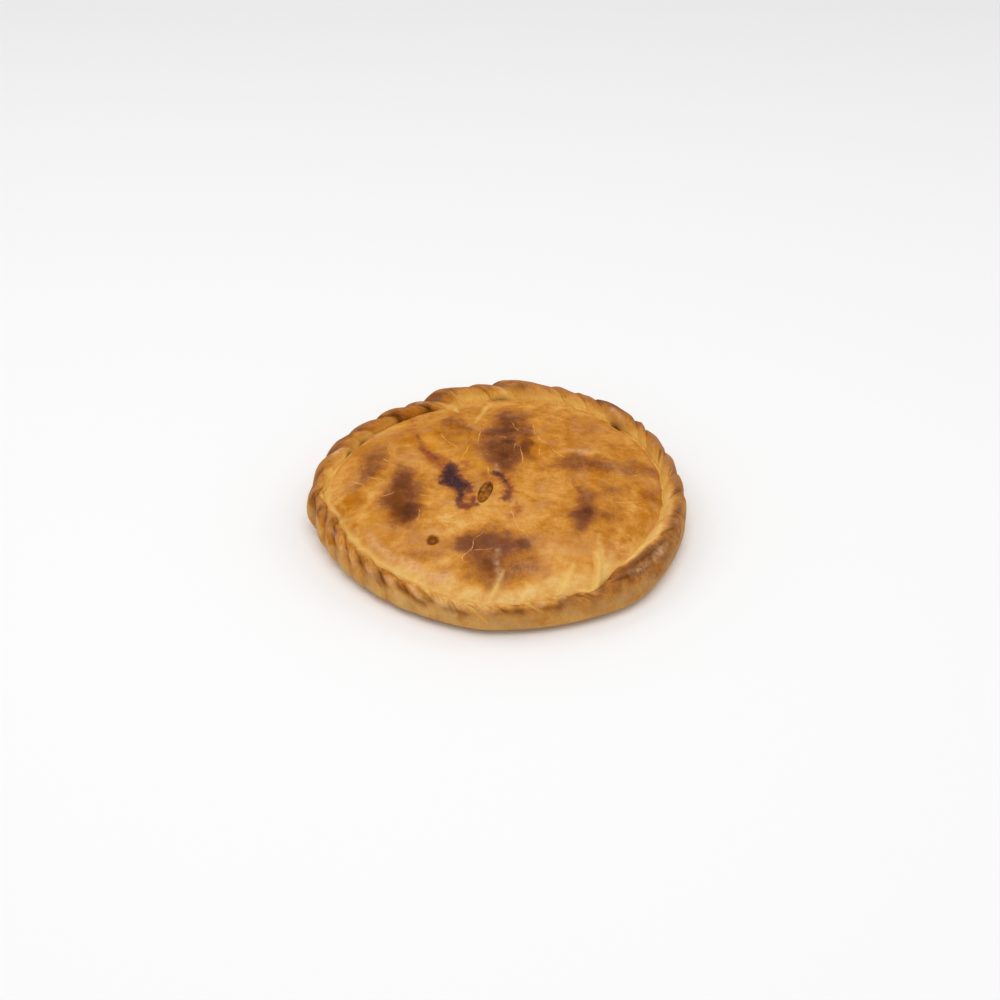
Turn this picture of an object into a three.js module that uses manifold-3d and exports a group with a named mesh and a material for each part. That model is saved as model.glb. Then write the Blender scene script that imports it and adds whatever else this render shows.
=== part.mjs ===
// A whole round empanada: a flat pie of golden dough whose edge is folded over
// and over into a rope, with one small steam vent in the lid.
// Millimetres, +Z up, angles in degrees anticlockwise from +X seen from above.
import * as THREE from "three";
import { mergeVertices } from "three/addons/utils/BufferGeometryUtils.js";
import Module from "manifold-3d";

// The outline: a circle of dough pulled out of round by hand
const PIE_RADIUS = 140;
const OUTLINE_WAVES = [
  { count: 2, swing: 0.8, heading: 138 },
  { count: 3, swing: 3.0, heading: 69 },
  { count: 4, swing: 1.5, heading: -10 },
];
const OUTLINE_PULLS = [
  { heading: 312, reach: 14, by: 4 },
  { heading: 187, reach: 4, by: 3 },
  { heading: 264, reach: 8, by: 1.5 },
  { heading: 12, reach: 20, by: 1.6 },
];

// The lid: a low dome that drops steeply at its shoulder
const LID_CROWN = 36;
const LID_EDGE = { height: 23.5, tilt: 1.5, heading: 75 };
const LID_SHOULDER = 5;
const LID_RINGS = [0.955, 0.88, 0.76, 0.6, 0.42, 0.22, 0];

// The rope: the folded edge, from its belly over its crest to the seam with the lid
const ROPE_BELLY = { height: 17, tilt: 5, heading: 110 };
const ROPE_SEAM = { height: 21.5, tilt: 1.5, heading: 75 };
const ROPE_SECTION = [0, 24, 48, 70, 90, 112, 138, 164, 180];

// How wide the rope lies at headings round the pie
const ROPE_WIDTHS = [
  { heading: 0, width: 17.5 },
  { heading: 14, width: 14 },
  { heading: 32, width: 12 },
  { heading: 58, width: 13 },
  { heading: 82, width: 19.5 },
  { heading: 97, width: 17 },
  { heading: 110, width: 18.5 },
  { heading: 124, width: 14 },
  { heading: 140, width: 13 },
  { heading: 156, width: 14 },
  { heading: 180, width: 12 },
  { heading: 197, width: 17 },
  { heading: 214, width: 13.5 },
  { heading: 240, width: 11.5 },
  { heading: 258, width: 7 },
  { heading: 270, width: 7 },
  { heading: 288, width: 11 },
  { heading: 299, width: 10 },
  { heading: 313, width: 22 },
  { heading: 324, width: 23.5 },
  { heading: 345, width: 19 },
];

// The side below the rope, as shares of the belly's height, drawn in to the flat base
const WALL_STEPS = [
  { share: 0.1, drawnIn: 0.56 },
  { share: 0.4, drawnIn: 0.17 },
];
const BASE_INSET = { height: 9, tilt: 1.5, heading: 180 };

// The folds of the rope: where each starts and how high it stands
const FOLDS = [
  { start: 332, top: 31.5 },
  { start: 343.5, top: 32.5 },
  { start: 355, top: 34 },
  { start: 364.2, top: 35 },
  { start: 375.2, top: 36.5 },
  { start: 389, top: 37 },
  { start: 395, top: 37.6 },
  { start: 413, top: 32.4 },
  { start: 421.5, top: 35 },
  { start: 430.6, top: 37.9 },
  { start: 449, top: 35 },
  { start: 458.2, top: 37.8 },
  { start: 472.2, top: 31.8 },
  { start: 481.8, top: 33.6 },
  { start: 494, top: 34.2 },
  { start: 507.7, top: 35 },
  { start: 519.3, top: 34 },
  { start: 532, top: 33 },
  { start: 545, top: 32.5 },
  { start: 554.5, top: 31 },
  { start: 562.5, top: 30 },
  { start: 571, top: 29 },
  { start: 578, top: 28 },
  { start: 587.5, top: 27 },
  { start: 597, top: 26.2 },
  { start: 606, top: 25.6 },
  { start: 613.5, top: 25.2 },
  { start: 620, top: 25.2 },
  { start: 628, top: 25.4 },
  { start: 636.5, top: 25.6 },
  { start: 645.5, top: 26 },
  { start: 653.5, top: 25.6 },
];
const FOLD_STEPS = 8;
const FOLD_DEPTH = 4;
const FOLD_DEEP_HALF = 7;
const FOLD_PEAK = 0.6;
const FOLD_ROUNDNESS = 0.62;
const FOLD_FULL_ABOVE = 60;
const FOLD_AT_BELLY = 0.2;
const FOLD_SIZE_SPREAD = 0.5;

// How far a fold runs on round the pie, from the seam out to the belly
const FOLD_SLANT = { height: 14, tilt: 5, heading: 50 };
const FOLD_SLANT_AHEAD = 0.6;

// The tail: the last long roll of the rope, laid over the lid and tucked down
const TAIL = { start: 659, end: 692, steps: 20, tipTop: 26, endTop: 31 };

// Pleats that the folds pull into the rim of the lid, deepest at the front
const PLEAT_DEPTH = 1.8;
const PLEAT_REACH = 0.2;
const PLEAT_FRONT = 275;

// Bumps where the filling pushes the lid up: place, half sizes, turn and rise
const BUMPS = [
  { x: 5, y: 50, along: 40, across: 20, turn: 88, rise: 2.2 },
  { x: -71, y: -20, along: 34, across: 17, turn: 96, rise: 2.0 },
  { x: -2, y: -85, along: 34, across: 22, turn: 4, rise: 2.4 },
  { x: 62, y: -40, along: 24, across: 16, turn: 70, rise: 1.8 },
  { x: 62, y: 30, along: 24, across: 17, turn: 10, rise: 1.8 },
  { x: -100, y: 35, along: 26, across: 15, turn: 80, rise: 1.6 },
  { x: -38, y: 75, along: 24, across: 16, turn: 100, rise: 1.5 },
  { x: -37, y: 5, along: 22, across: 14, turn: 70, rise: -1.4 },
];

// The steam vent and the filling seen in it
const VENT = { x: -10, y: -17, halfWidth: 5.8, halfLength: 11, turn: -15, depth: 6.5 };
const VENT_LIP = { reach: 15, rise: 1.6 };
const FILLING_GAP = 0.4;
const FILLING_TOP = 0.2;
const FILLING_LUMPS = { waves: 5, swell: 0.35 };

const CRUST_LOOK = { color: 0xc98f45, roughness: 0.6, metalness: 0 };
const FILLING_LOOK = { color: 0x6f4f22, roughness: 0.5, metalness: 0 };

const wasm = await Module();
wasm.setup();

const radians = THREE.MathUtils.degToRad;

// A repeatable number from 0 to 1 that gives each fold its own unevenness
function chance(index, salt) {
  const value = Math.sin(index * 12.9898 + salt * 78.233) * 43758.5453;
  return value - Math.floor(value);
}

// Signed turn from one heading to another, from -180 to 180
function turnBetween(from, to) {
  return THREE.MathUtils.euclideanModulo(to - from + 180, 360) - 180;
}

// A smooth hump of height 1 at the heading, gone beyond about twice its reach
function hump(angle, heading, reach) {
  return Math.exp(-((turnBetween(heading, angle) / reach) ** 2));
}

function outlineRadius(angle) {
  let radius = PIE_RADIUS;
  for (const wave of OUTLINE_WAVES) {
    radius += wave.swing * Math.cos(wave.count * radians(angle - wave.heading));
  }
  for (const pull of OUTLINE_PULLS) {
    radius += pull.by * hump(angle, pull.heading, pull.reach);
  }
  return radius;
}

// How wide the rope lies at an angle, easing from one measured heading to the next
function ropeWidth(angle) {
  const last = ROPE_WIDTHS.length - 1;
  const heading = THREE.MathUtils.euclideanModulo(angle, 360);
  const at = ROPE_WIDTHS.findLastIndex((entry) => entry.heading <= heading);
  const from = ROPE_WIDTHS[at];
  const to = at < last ? ROPE_WIDTHS[at + 1] : { heading: 360, width: ROPE_WIDTHS[0].width };
  const eased = THREE.MathUtils.smoothstep(heading, from.heading, to.heading);
  return THREE.MathUtils.lerp(from.width, to.width, eased);
}

// Where the lid meets the rope
function seamRadius(angle) {
  return outlineRadius(angle) - ropeWidth(angle);
}

// How far round a fold has run on, from its share of the way in to the seam
function slantedAngle(step, shareIn) {
  return step.angle + tilted(FOLD_SLANT, step.angle) * (FOLD_SLANT_AHEAD - shareIn);
}

// Every step round the rope: its angle, its share of a fold and that fold's size
function ropeSteps() {
  const steps = [];
  FOLDS.forEach((fold, index) => {
    const size = 1 + FOLD_SIZE_SPREAD * (chance(index, 1) - 0.5);
    const end = index + 1 < FOLDS.length ? FOLDS[index + 1].start : TAIL.start;
    for (let step = 0; step < FOLD_STEPS; step += 1) {
      const share = step / FOLD_STEPS;
      const angle = THREE.MathUtils.lerp(fold.start, end, share);
      steps.push({ angle, share, size, top: fold.top, pleat: chance(index, 3) });
    }
  });
  for (let step = 0; step < TAIL.steps; step += 1) {
    const share = step / TAIL.steps;
    const angle = THREE.MathUtils.lerp(TAIL.start, TAIL.end, share);
    const top = THREE.MathUtils.lerp(TAIL.tipTop, TAIL.endTop, share);
    steps.push({ angle, share, size: 1, top, pleat: 1 - share });
  }
  return steps;
}

// Depth of a place below its fold's top: sharp creases, a steep leading side
function foldDip(step) {
  const lean = Math.log(0.5) / Math.log(FOLD_PEAK);
  const swell = Math.sin(Math.PI * step.share ** lean) ** FOLD_ROUNDNESS;
  return FOLD_DEPTH * step.size * (1 - swell);
}

// Rise or dip of the lid at a place, from the bumps, the vent's lip and the pleats
function lidRelief(x, y, share, step) {
  let height = 0;
  for (const bump of BUMPS) {
    const turn = radians(bump.turn);
    const along = (x - bump.x) * Math.cos(turn) + (y - bump.y) * Math.sin(turn);
    const across = (y - bump.y) * Math.cos(turn) - (x - bump.x) * Math.sin(turn);
    height += bump.rise * Math.exp(-((along / bump.along) ** 2) - (across / bump.across) ** 2);
  }
  const fromVent = Math.hypot(x - VENT.x, y - VENT.y);
  height += VENT_LIP.rise * Math.exp(-((fromVent / VENT_LIP.reach) ** 2));
  const nearRim = Math.max(0, 1 - (1 - share) / PLEAT_REACH);
  const front = 0.5 + 0.5 * Math.cos(radians(step.angle - PLEAT_FRONT));
  const valley = Math.cos(2 * Math.PI * step.share) * step.pleat;
  return height - PLEAT_DEPTH * nearRim * front * valley;
}

function polar(radius, angle, height) {
  return new THREE.Vector3(radius * Math.cos(radians(angle)), radius * Math.sin(radians(angle)), height);
}

function lidPoint(step, share) {
  const angle = THREE.MathUtils.lerp(step.angle, slantedAngle(step, 1), share ** LID_SHOULDER);
  const point = polar(share * seamRadius(angle), angle, 0);
  const dome = 1 - share ** LID_SHOULDER;
  const height = THREE.MathUtils.lerp(tilted(LID_EDGE, angle), LID_CROWN, dome);
  point.z = height + lidRelief(point.x, point.y, share, step);
  return point;
}

// A height that changes smoothly round the pie, highest at its heading
function tilted(level, angle) {
  return level.height + level.tilt * Math.cos(radians(angle - level.heading));
}

// The rope's section: a quarter oval from belly to crest, another down to the seam
function ropePoint(step, turn) {
  const angle = slantedAngle(step, turn / 180);
  const half = ropeWidth(angle) / 2;
  const foot = turn < 90 ? tilted(ROPE_BELLY, angle) : tilted(ROPE_SEAM, angle);
  const faded = THREE.MathUtils.smoothstep(turn, 0, FOLD_FULL_ABOVE);
  const deep = Math.min(1, half / FOLD_DEEP_HALF);
  const dip = foldDip(step) * deep * THREE.MathUtils.lerp(FOLD_AT_BELLY, 1, faded);
  const radius = outlineRadius(angle) - half + (half - dip) * Math.cos(radians(turn));
  return polar(radius, angle, foot + (step.top - foot - dip) * Math.sin(radians(turn)));
}

function wallPoint(step, wall) {
  const angle = slantedAngle(step, 0);
  const dip = foldDip(step) * FOLD_AT_BELLY * wall.share;
  const height = wall.share * tilted(ROPE_BELLY, angle);
  const inset = wall.drawnIn * tilted(BASE_INSET, angle);
  return polar(outlineRadius(angle) - inset - dip, angle, height);
}

function basePoint(step) {
  const angle = slantedAngle(step, 0);
  return polar(outlineRadius(angle) - tilted(BASE_INSET, angle), angle, 0);
}

// Stations across the crust from the middle of the base, over the rope, to the lid
function crustStations() {
  return [
    () => new THREE.Vector3(0, 0, 0),
    basePoint,
    ...WALL_STEPS.map((wall) => (step) => wallPoint(step, wall)),
    ...ROPE_SECTION.map((turn) => (step) => ropePoint(step, turn)),
    ...LID_RINGS.map((share) => (step) => lidPoint(step, share)),
  ];
}

// A lathe turned from the mean section, each of its points then set in place
function crustGeometry() {
  const steps = ropeSteps();
  const stations = crustStations();
  const mean = stations.map((place) => place(steps[0]));
  const section = mean.map((point) => new THREE.Vector2(Math.hypot(point.x, point.y), point.z));
  const geometry = new THREE.LatheGeometry(section, steps.length);
  const position = geometry.getAttribute("position");
  for (let index = 0; index < position.count; index += 1) {
    const step = steps[Math.floor(index / stations.length) % steps.length];
    const point = stations[index % stations.length](step);
    position.setXYZ(index, point.x, point.y, point.z);
  }
  return geometry;
}

function lidHeightAt(x, y) {
  const flatStep = { angle: 0, share: 0.25, pleat: 0 };
  return LID_CROWN + lidRelief(x, y, 0, flatStep);
}

// A rounded hollow, narrower than long, sunk into the lid
function ventGeometry() {
  const geometry = new THREE.SphereGeometry(1, 24, 16);
  geometry.scale(VENT.halfWidth, VENT.halfLength, VENT.depth).rotateZ(radians(VENT.turn));
  return geometry.translate(VENT.x, VENT.y, lidHeightAt(VENT.x, VENT.y));
}

// The filling that fills the vent nearly to the brim, with an uneven top
function fillingGeometry() {
  const geometry = new THREE.SphereGeometry(1, 24, 16);
  const position = geometry.getAttribute("position");
  for (let index = 0; index < position.count; index += 1) {
    const around = Math.atan2(position.getY(index), position.getX(index));
    const level = position.getZ(index);
    const lump = 1 + FILLING_LUMPS.swell * Math.sin(FILLING_LUMPS.waves * around);
    const top = level * FILLING_TOP * lump - FILLING_TOP;
    position.setZ(index, level > 0 ? top : Math.min(level, -FILLING_TOP));
  }
  const gap = FILLING_GAP;
  geometry.scale(VENT.halfWidth - gap, VENT.halfLength - gap, VENT.depth - gap);
  geometry.rotateZ(radians(VENT.turn));
  return geometry.translate(VENT.x, VENT.y, lidHeightAt(VENT.x, VENT.y));
}

function solidOf(geometry) {
  const bare = geometry.clone();
  bare.deleteAttribute("normal");
  bare.deleteAttribute("uv");
  const welded = mergeVertices(bare, 1e-4);
  const vertProperties = new Float32Array(welded.getAttribute("position").array);
  const corners = Array.from(welded.getIndex().array);
  const kept = [];
  for (let at = 0; at < corners.length; at += 3) {
    const [a, b, c] = corners.slice(at, at + 3);
    if (a !== b && b !== c && c !== a) {
      kept.push(a, b, c);
    }
  }
  const mesh = new wasm.Mesh({ numProp: 3, vertProperties, triVerts: new Uint32Array(kept) });
  return new wasm.Manifold(mesh);
}

function meshOf(solid, name, look) {
  const { vertProperties, triVerts } = solid.getMesh();
  const geometry = new THREE.BufferGeometry();
  geometry.setAttribute("position", new THREE.BufferAttribute(vertProperties, 3));
  geometry.setIndex(new THREE.BufferAttribute(triVerts, 1));
  geometry.computeVertexNormals();
  const mesh = new THREE.Mesh(geometry, new THREE.MeshStandardMaterial(look));
  mesh.name = name;
  return mesh;
}

const crust = solidOf(crustGeometry()).subtract(solidOf(ventGeometry()));
const filling = solidOf(fillingGeometry());

// The origin lies on the base, in the middle of the pie's own box
const box = crust.boundingBox();
const toOrigin = [-(box.min[0] + box.max[0]) / 2, -(box.min[1] + box.max[1]) / 2, -box.min[2]];

const group = new THREE.Group();
group.name = "empanada";
group.add(meshOf(crust.translate(toOrigin), "crust", CRUST_LOOK));
group.add(meshOf(filling.translate(toOrigin), "filling", FILLING_LOOK));

export default group;
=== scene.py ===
"""A whole round empanada, baked golden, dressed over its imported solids.

Dough sizes are in millimetres and headings in degrees, anticlockwise from +X
seen from above, measured from the middle of the rolled dough. The last step of
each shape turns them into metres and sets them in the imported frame.
"""
import math

import bmesh
import bpy
import numpy as np
from mathutils import Matrix, Vector, noise


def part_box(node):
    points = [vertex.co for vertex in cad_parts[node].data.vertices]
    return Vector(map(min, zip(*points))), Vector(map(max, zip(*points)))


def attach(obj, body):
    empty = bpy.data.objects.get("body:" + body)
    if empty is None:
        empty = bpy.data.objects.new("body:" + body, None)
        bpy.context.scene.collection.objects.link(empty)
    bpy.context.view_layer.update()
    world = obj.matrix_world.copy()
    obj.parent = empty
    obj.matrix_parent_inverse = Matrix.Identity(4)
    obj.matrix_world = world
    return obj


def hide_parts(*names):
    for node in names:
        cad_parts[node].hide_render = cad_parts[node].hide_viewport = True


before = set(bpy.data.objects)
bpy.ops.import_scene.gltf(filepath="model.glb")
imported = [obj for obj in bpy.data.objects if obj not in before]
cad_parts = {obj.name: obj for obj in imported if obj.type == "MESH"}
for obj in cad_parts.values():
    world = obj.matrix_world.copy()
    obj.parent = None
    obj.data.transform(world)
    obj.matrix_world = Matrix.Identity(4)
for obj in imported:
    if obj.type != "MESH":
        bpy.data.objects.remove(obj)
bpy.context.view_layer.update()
MM = 0.001

# The outline: a circle of dough pulled out of round by hand
PIE_RADIUS = 140.0
OUTLINE_WAVES = (
    {"count": 2, "swing": 0.8, "heading": 138.0},
    {"count": 3, "swing": 3.0, "heading": 69.0},
    {"count": 4, "swing": 1.5, "heading": -10.0},
)
OUTLINE_PULLS = (
    {"heading": 312.0, "reach": 14.0, "by": 4.0},
    {"heading": 187.0, "reach": 4.0, "by": 3.0},
    {"heading": 264.0, "reach": 8.0, "by": 1.5},
    {"heading": 12.0, "reach": 20.0, "by": 1.6},
)

# The lid: a low dome that drops steeply at its shoulder to the seam
LID_CROWN = 36.0
LID_EDGE = {"height": 24.0, "tilt": 1.5, "heading": 75.0}
LID_SHOULDER = 5.0
LID_LUMP = 0.8
LID_LUMP_SIZE = 26.0
LID_LUMP_FADE = 8
SEAM_DIP = {"height": 1.1, "tilt": 1.1, "heading": 50.0}
SEAM_DIP_REACH = 0.03

# The rope: the folded edge, from its belly over its crest to the seam with the lid
ROPE_BELLY = (
    (0, 16.5), (60, 19), (160, 19), (186, 19), (204, 15), (222, 11),
    (240, 9), (265, 8.5), (285, 9), (305, 10.5), (330, 14),
)
ROPE_SEAM = {"height": 22.0, "tilt": 1.5, "heading": 75.0}
ROPE_LUMP = 0.6
ROPE_LUMP_SIZE = 9.0
BASE_INSET = {"height": 10.0, "tilt": 2.5, "heading": 195.0}
WALL_ROUNDING = 2.6

# How wide the rope lies: headings round the pie with widths
ROPE_WIDTHS = (
    (0, 17.5), (14, 14), (32, 12), (58, 13), (82, 19.5), (97, 17),
    (110, 18.5), (124, 14), (140, 13), (156, 14), (180, 12), (197, 17),
    (214, 13.5), (240, 11.5), (258, 7), (270, 7), (288, 11), (299, 10),
    (313, 22), (324, 23.5), (345, 19),
)

# The folds of the rope: where each starts and how high it stands
FOLDS = (
    (332, 31.5), (343.5, 32.5), (355, 34), (364.2, 35), (375.2, 36.5), (389, 37),
    (395, 37), (413, 34), (421.5, 35), (430.6, 37.9), (449, 35), (458.2, 37.8),
    (472.2, 31.8), (481.8, 33.6), (494, 34.2), (507.7, 35), (519.3, 34), (532, 33),
    (545, 32.5), (554.5, 31), (562.5, 30), (571, 29), (578, 28), (587.5, 27),
    (597, 26.2), (606, 25.6), (613.5, 25.2), (620, 25.2), (628, 25.4), (636.5, 25.6),
    (645.5, 26), (653.5, 25.6),
)
FOLD_DEEP_HALF = 5.0
FOLD_ROUNDNESS = 0.7
FOLD_GROWS_OVER = 45.0
FOLD_AT_SEAM = 0.5
FOLD_SEAM_TURNS = (110.0, 180.0)
FOLD_SIZE_SPREAD = 0.5
CREASE_DEPTH = 0.5
CREASE_WIDTH = 0.045
CREASE_TURNS = (20.0, 80.0)
LOBE_BULGE = 2.6
LOBE_TURN = 58.0
LOBE_TURN_REACH = 20.0
LOBE_HEADING = 243.0
LOBE_REACH = 55.0
STRAND_DEPTH = 0.2
STRANDS = 2.0

# How deep the folds are, what is left of that at the belly, and the turn where they are full
FOLD_DEPTH = (
    (0, 2.6), (40, 2.4), (53, 2), (76, 3.2), (130, 3.6), (180, 3.6), (200, 3.2), (225, 2.8),
    (255, 2.4), (300, 2.6), (334, 3.2),
)
FOLD_AT_BELLY = (
    (0, 0.35), (150, 0.35), (185, 0.60), (215, 0.80), (236, 0.60), (250, 0.16),
    (265, 0.04), (300, 0.04), (330, 0.12),
)
FOLD_FULL_ABOVE = (
    (0, 45), (234, 45), (256, 84), (300, 84), (332, 60),
)
# Where along its length each fold stands highest: headings with shares
FOLD_PEAKS = (
    (0, 0.58), (26, 0.56), (38, 0.42), (50, 0.42), (60, 0.66), (110, 0.72),
    (150, 0.66), (190, 0.66), (244, 0.64), (258, 0.55), (272, 0.34), (300, 0.34),
    (334, 0.62),
)
# How far a fold runs on round the pie, from the seam out to the belly
FOLD_SLANT = {"height": 10.5, "tilt": 3.5, "heading": 135.0}
FOLD_SLANT_AHEAD = 0.6
FOLD_SLANT_SPAN = (-0.15, 1.15)

# The tail: the last long roll of the rope, laid over the lid and tucked down
TAIL = {"start": 659.0, "end": 692.0, "tip_top": 26.0, "end_top": 31.0}
TAIL_LEAN = 4.0

# Pleats drawn from the creases into the rim of the lid: heading at the rim,
# heading and share of the lid where each fades out, depth and half width
PLEATS = (
    (298, 313, 0.76, 2.4, 2.6),
    (286.5, 294.5, 0.82, 1.6, 2.4),
    (274.5, 280, 0.86, 1, 2.2),
    (264.5, 269.5, 0.80, 1.4, 2.4),
    (256, 259, 0.88, 0.9, 2),
    (248, 251, 0.90, 0.8, 2),
    (232, 236, 0.90, 0.9, 2.2),
    (214, 218, 0.88, 0.9, 2.2),
    (196, 201, 0.88, 0.9, 2.4),
    (111, 114, 0.85, 1, 2.6),
    (104, 108, 0.87, 0.8, 2.4),
    (92, 95, 0.88, 0.7, 2.4),
    (60, 64, 0.88, 0.9, 2.6),
    (345, 350, 0.90, 0.7, 2.4),
)
PLEAT_FULL_SHARE = 0.25
PLEAT_RIDGE = {"by": 0.7, "off": 2.0, "reach": 1.4}
PLEAT_PALE = {"off": 1.0, "reach": 1.6, "full_depth": 2.4}

# How brown the oven left the rope over its crest, toward the lid and outside, as headings
# round the pie with amounts, and the turn over the rope where that crest lies
ROPE_CREST = (
    (0, 0.60), (20, 0.62), (40, 0.66), (52, 0.62), (70, 0.58), (88, 0.52),
    (110, 0.62), (124, 0.64), (134, 0.58), (152, 0.58), (166, 0.56), (180, 0.54),
    (192, 0.46), (204, 0.44), (226, 0.38), (240, 0.26), (256, 0.22), (270, 0.40),
    (290, 0.47), (302, 0.58), (314, 0.70), (326, 0.64), (344, 0.58),
)
CREST_TURN = (
    (0, 82), (20, 94), (50, 92), (88, 88), (130, 95), (176, 86),
    (200, 74), (230, 62), (262, 46), (292, 52), (312, 76), (336, 66),
)
ROPE_INSIDE = (
    (0, 0.26), (30, 0.28), (60, 0.28), (90, 0.30), (108, 0.34), (122, 0.50),
    (134, 0.42), (152, 0.30), (172, 0.24), (190, 0.36), (214, 0.42), (236, 0.46),
    (247, 0.24), (262, 0.14), (272, 0.27), (286, 0.28), (294, 0.36), (302, 0.58),
    (309, 0.46), (316, 0.20), (326, 0.10), (345, 0.12),
)
ROPE_OUTSIDE = (
    (0, 0.50), (36, 0.58), (60, 0.50), (105, 0.50), (122, 0.62), (152, 0.60),
    (180, 0.48), (190, 0.40), (212, 0.30), (245, 0.24), (262, 0.28), (276, 0.37),
    (292, 0.40), (304, 0.45), (314, 0.54), (326, 0.62),
    (340, 0.58), (350, 0.54),
)
# How pale the rope stayed where it meets the lid: headings with amounts
FLANK_PALED = (
    (0, 0.9), (14, 0.8), (22, 0.5), (32, 0.9), (42, 0.2), (52, 0.9), (76, 0.8),
    (86, 0.7), (104, 1), (112, 0.1), (124, 0), (140, 0.4), (150, 0.6),
    (164, 1), (178, 0.8), (190, 0), (238, 0), (250, 0.5), (264, 0.5),
    (272, 0), (308, 0), (316, 0.6), (324, 0.7), (336, 0.6), (350, 1),
)
# Marks on the rope: strokes of headings and turns over it, with half widths in degrees
# Brown from the oven, and painted shade under the overhanging tongues and the tail
ROPE_BROWNED_AND_SHADED = (
    ((82, 118, 1.5), (87, 110, 1.5)),
    ((117.8, 165, 1.2), (118.6, 140, 1.4)),
    ((130.6, 168, 1.2), (131, 145, 1.6), (132, 112, 1.2)),
    ((44, 88, 1.5), (54, 80, 1.5)),
    ((153, 100, 1.2), (157, 80, 1.6)),
    ((181, 84, 0.8), (184, 50, 1.4), (185, 20, 1.2)),
    ((187, 84, 0.8), (189, 45, 0.8)),
    ((193.5, 80, 0.9), (195, 52, 1.2)),
    ((200, 104, 0.8), (203, 93, 1.6), (206, 84, 0.6)),
    ((209.5, 46, 0.8), (211.5, 34, 0.8)),
    ((220, 98, 0.8), (222.5, 82, 1.2)),
    ((220.2, 74, 0.8), (224.8, 50, 0.8)),
    ((229.8, 58, 0.9), (232.4, 40, 0.9)),
    ((236.8, 74, 0.7), (240.5, 48, 0.7)),
    ((242, 40, 0.8), (247, 30, 0.8)),
    ((246, 76, 0.5), (249.5, 46, 0.8)),
    ((254, 38, 0.6), (260.5, 34, 0.7)),
    ((268, 48, 0.5), (270, 46, 0.5)),
    ((270.6, 58, 1.2), (275.6, 54, 1.4)),
    ((272, 150, 0.5), (274.6, 82, 0.8)),
    ((282.8, 56, 1.1), (287, 50, 1.3)),
    ((292.4, 165, 1.8), (292.4, 92, 2), (289, 76, 1)),
    ((301.6, 160, 0.8), (301.6, 100, 0.8)),
    ((304, 172, 1.6), (306, 130, 1.8), (308.6, 100, 1.6), (312, 82, 1.4)),
    ((313, 76, 1.2), (318, 72, 1.6), (323, 64, 1.5), (331, 58, 0.9)),
    ((324.5, 36, 0.9), (331.5, 34, 1)),
    ((333, 92, 0.6), (337, 60, 1)),
    ((342, 80, 0.8), (347, 54, 1)),
    ((351.5, 112, 0.6), (356, 70, 1)),
)
# Painted shade: dark strokes in the creases and under the overhanging folds and the tail
ROPE_PAINTED_SHADE = (
    ((4, 124, 0.1), (6.4, 104, 0.3)),
    ((14.4, 165, 0.1), (15.6, 138, 0.4), (17.2, 112, 0.5)),
    ((66, 142, 0.1), (66.6, 136, 0.3)),
    ((71, 140, 0), (74, 114, 0.2)),
    ((106.8, 134, 0.1), (108.6, 104, 0.4)),
    ((118, 162, 0.5), (118.8, 144, 0.5)),
    ((130.4, 166, 0.4), (131.2, 148, 0.6)),
    ((149.2, 178, 0.4), (151, 152, 0.1)),
    ((156.2, 178, 0.5), (157, 166, 0.2)),
    ((181, 138, 0.1), (184.4, 126, 0.4)),
    ((185, 92, 0.1), (187.2, 70, 0.3), (188.4, 42, 0.1)),
    ((194, 76, 0.2), (194.8, 56, 0.3)),
    ((217, 94, 0.1), (218.6, 82, 0.1)),
    ((220.4, 73, 0.1), (222, 62, 0.2)),
    ((229.8, 38, 0.2), (231.4, 25, 0.2)),
    ((238, 63, 0.1), (239.2, 54, 0.2)),
    ((254.4, 74, 0), (255.2, 52, 0.2), (256, 30, 0)),
    ((295.2, 94, 0.1), (296.2, 76, 0.4), (297.4, 58, 0.1)),
    ((305, 178, 0.5), (304.4, 140, 0.8), (305.4, 102, 0.2)),
    ((304.6, 86, 0.2), (308, 72, 0.5), (312, 59, 0.5), (316, 50, 0.4), (320, 44, 0.1)),
    ((315, 80, 0.1), (318, 74, 0.3), (321, 69, 0.2), (326, 63, 0.3), (331, 60, 0.1)),
    ((333, 92, 0.1), (336.6, 68, 0.2)),
    ((352, 118, 0.1), (353.6, 98, 0.4), (355.8, 76, 0.2)),
)
ROPE_GILDED = (
    ((20, 172, 1), (36, 164, 1.5)),
    ((46, 152, 1.5), (52, 148, 1.5)),
    ((80, 164, 1.2), (87, 158, 1.4)),
    ((91, 162, 1.2), (99, 156, 1.4)),
    ((111, 150, 1), (113.5, 120, 0.8)),
    ((119.5, 172, 1.5), (126, 150, 2.2)),
    ((133, 168, 1.5), (143, 154, 2.2)),
    ((145, 170, 1.5), (150.5, 140, 2)),
    ((152, 172, 1.2), (156, 160, 1.4)),
    ((202, 46, 1), (207, 34, 1)),
    ((208, 130, 1), (215, 100, 1)),
    ((215, 150, 0.8), (219, 90, 0.8)),
    ((217, 32, 1), (224, 26, 1)),
    ((283, 58, 0.8), (287, 52, 0.8)),
    ((345, 138, 1), (350, 120, 1)),
)
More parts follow.
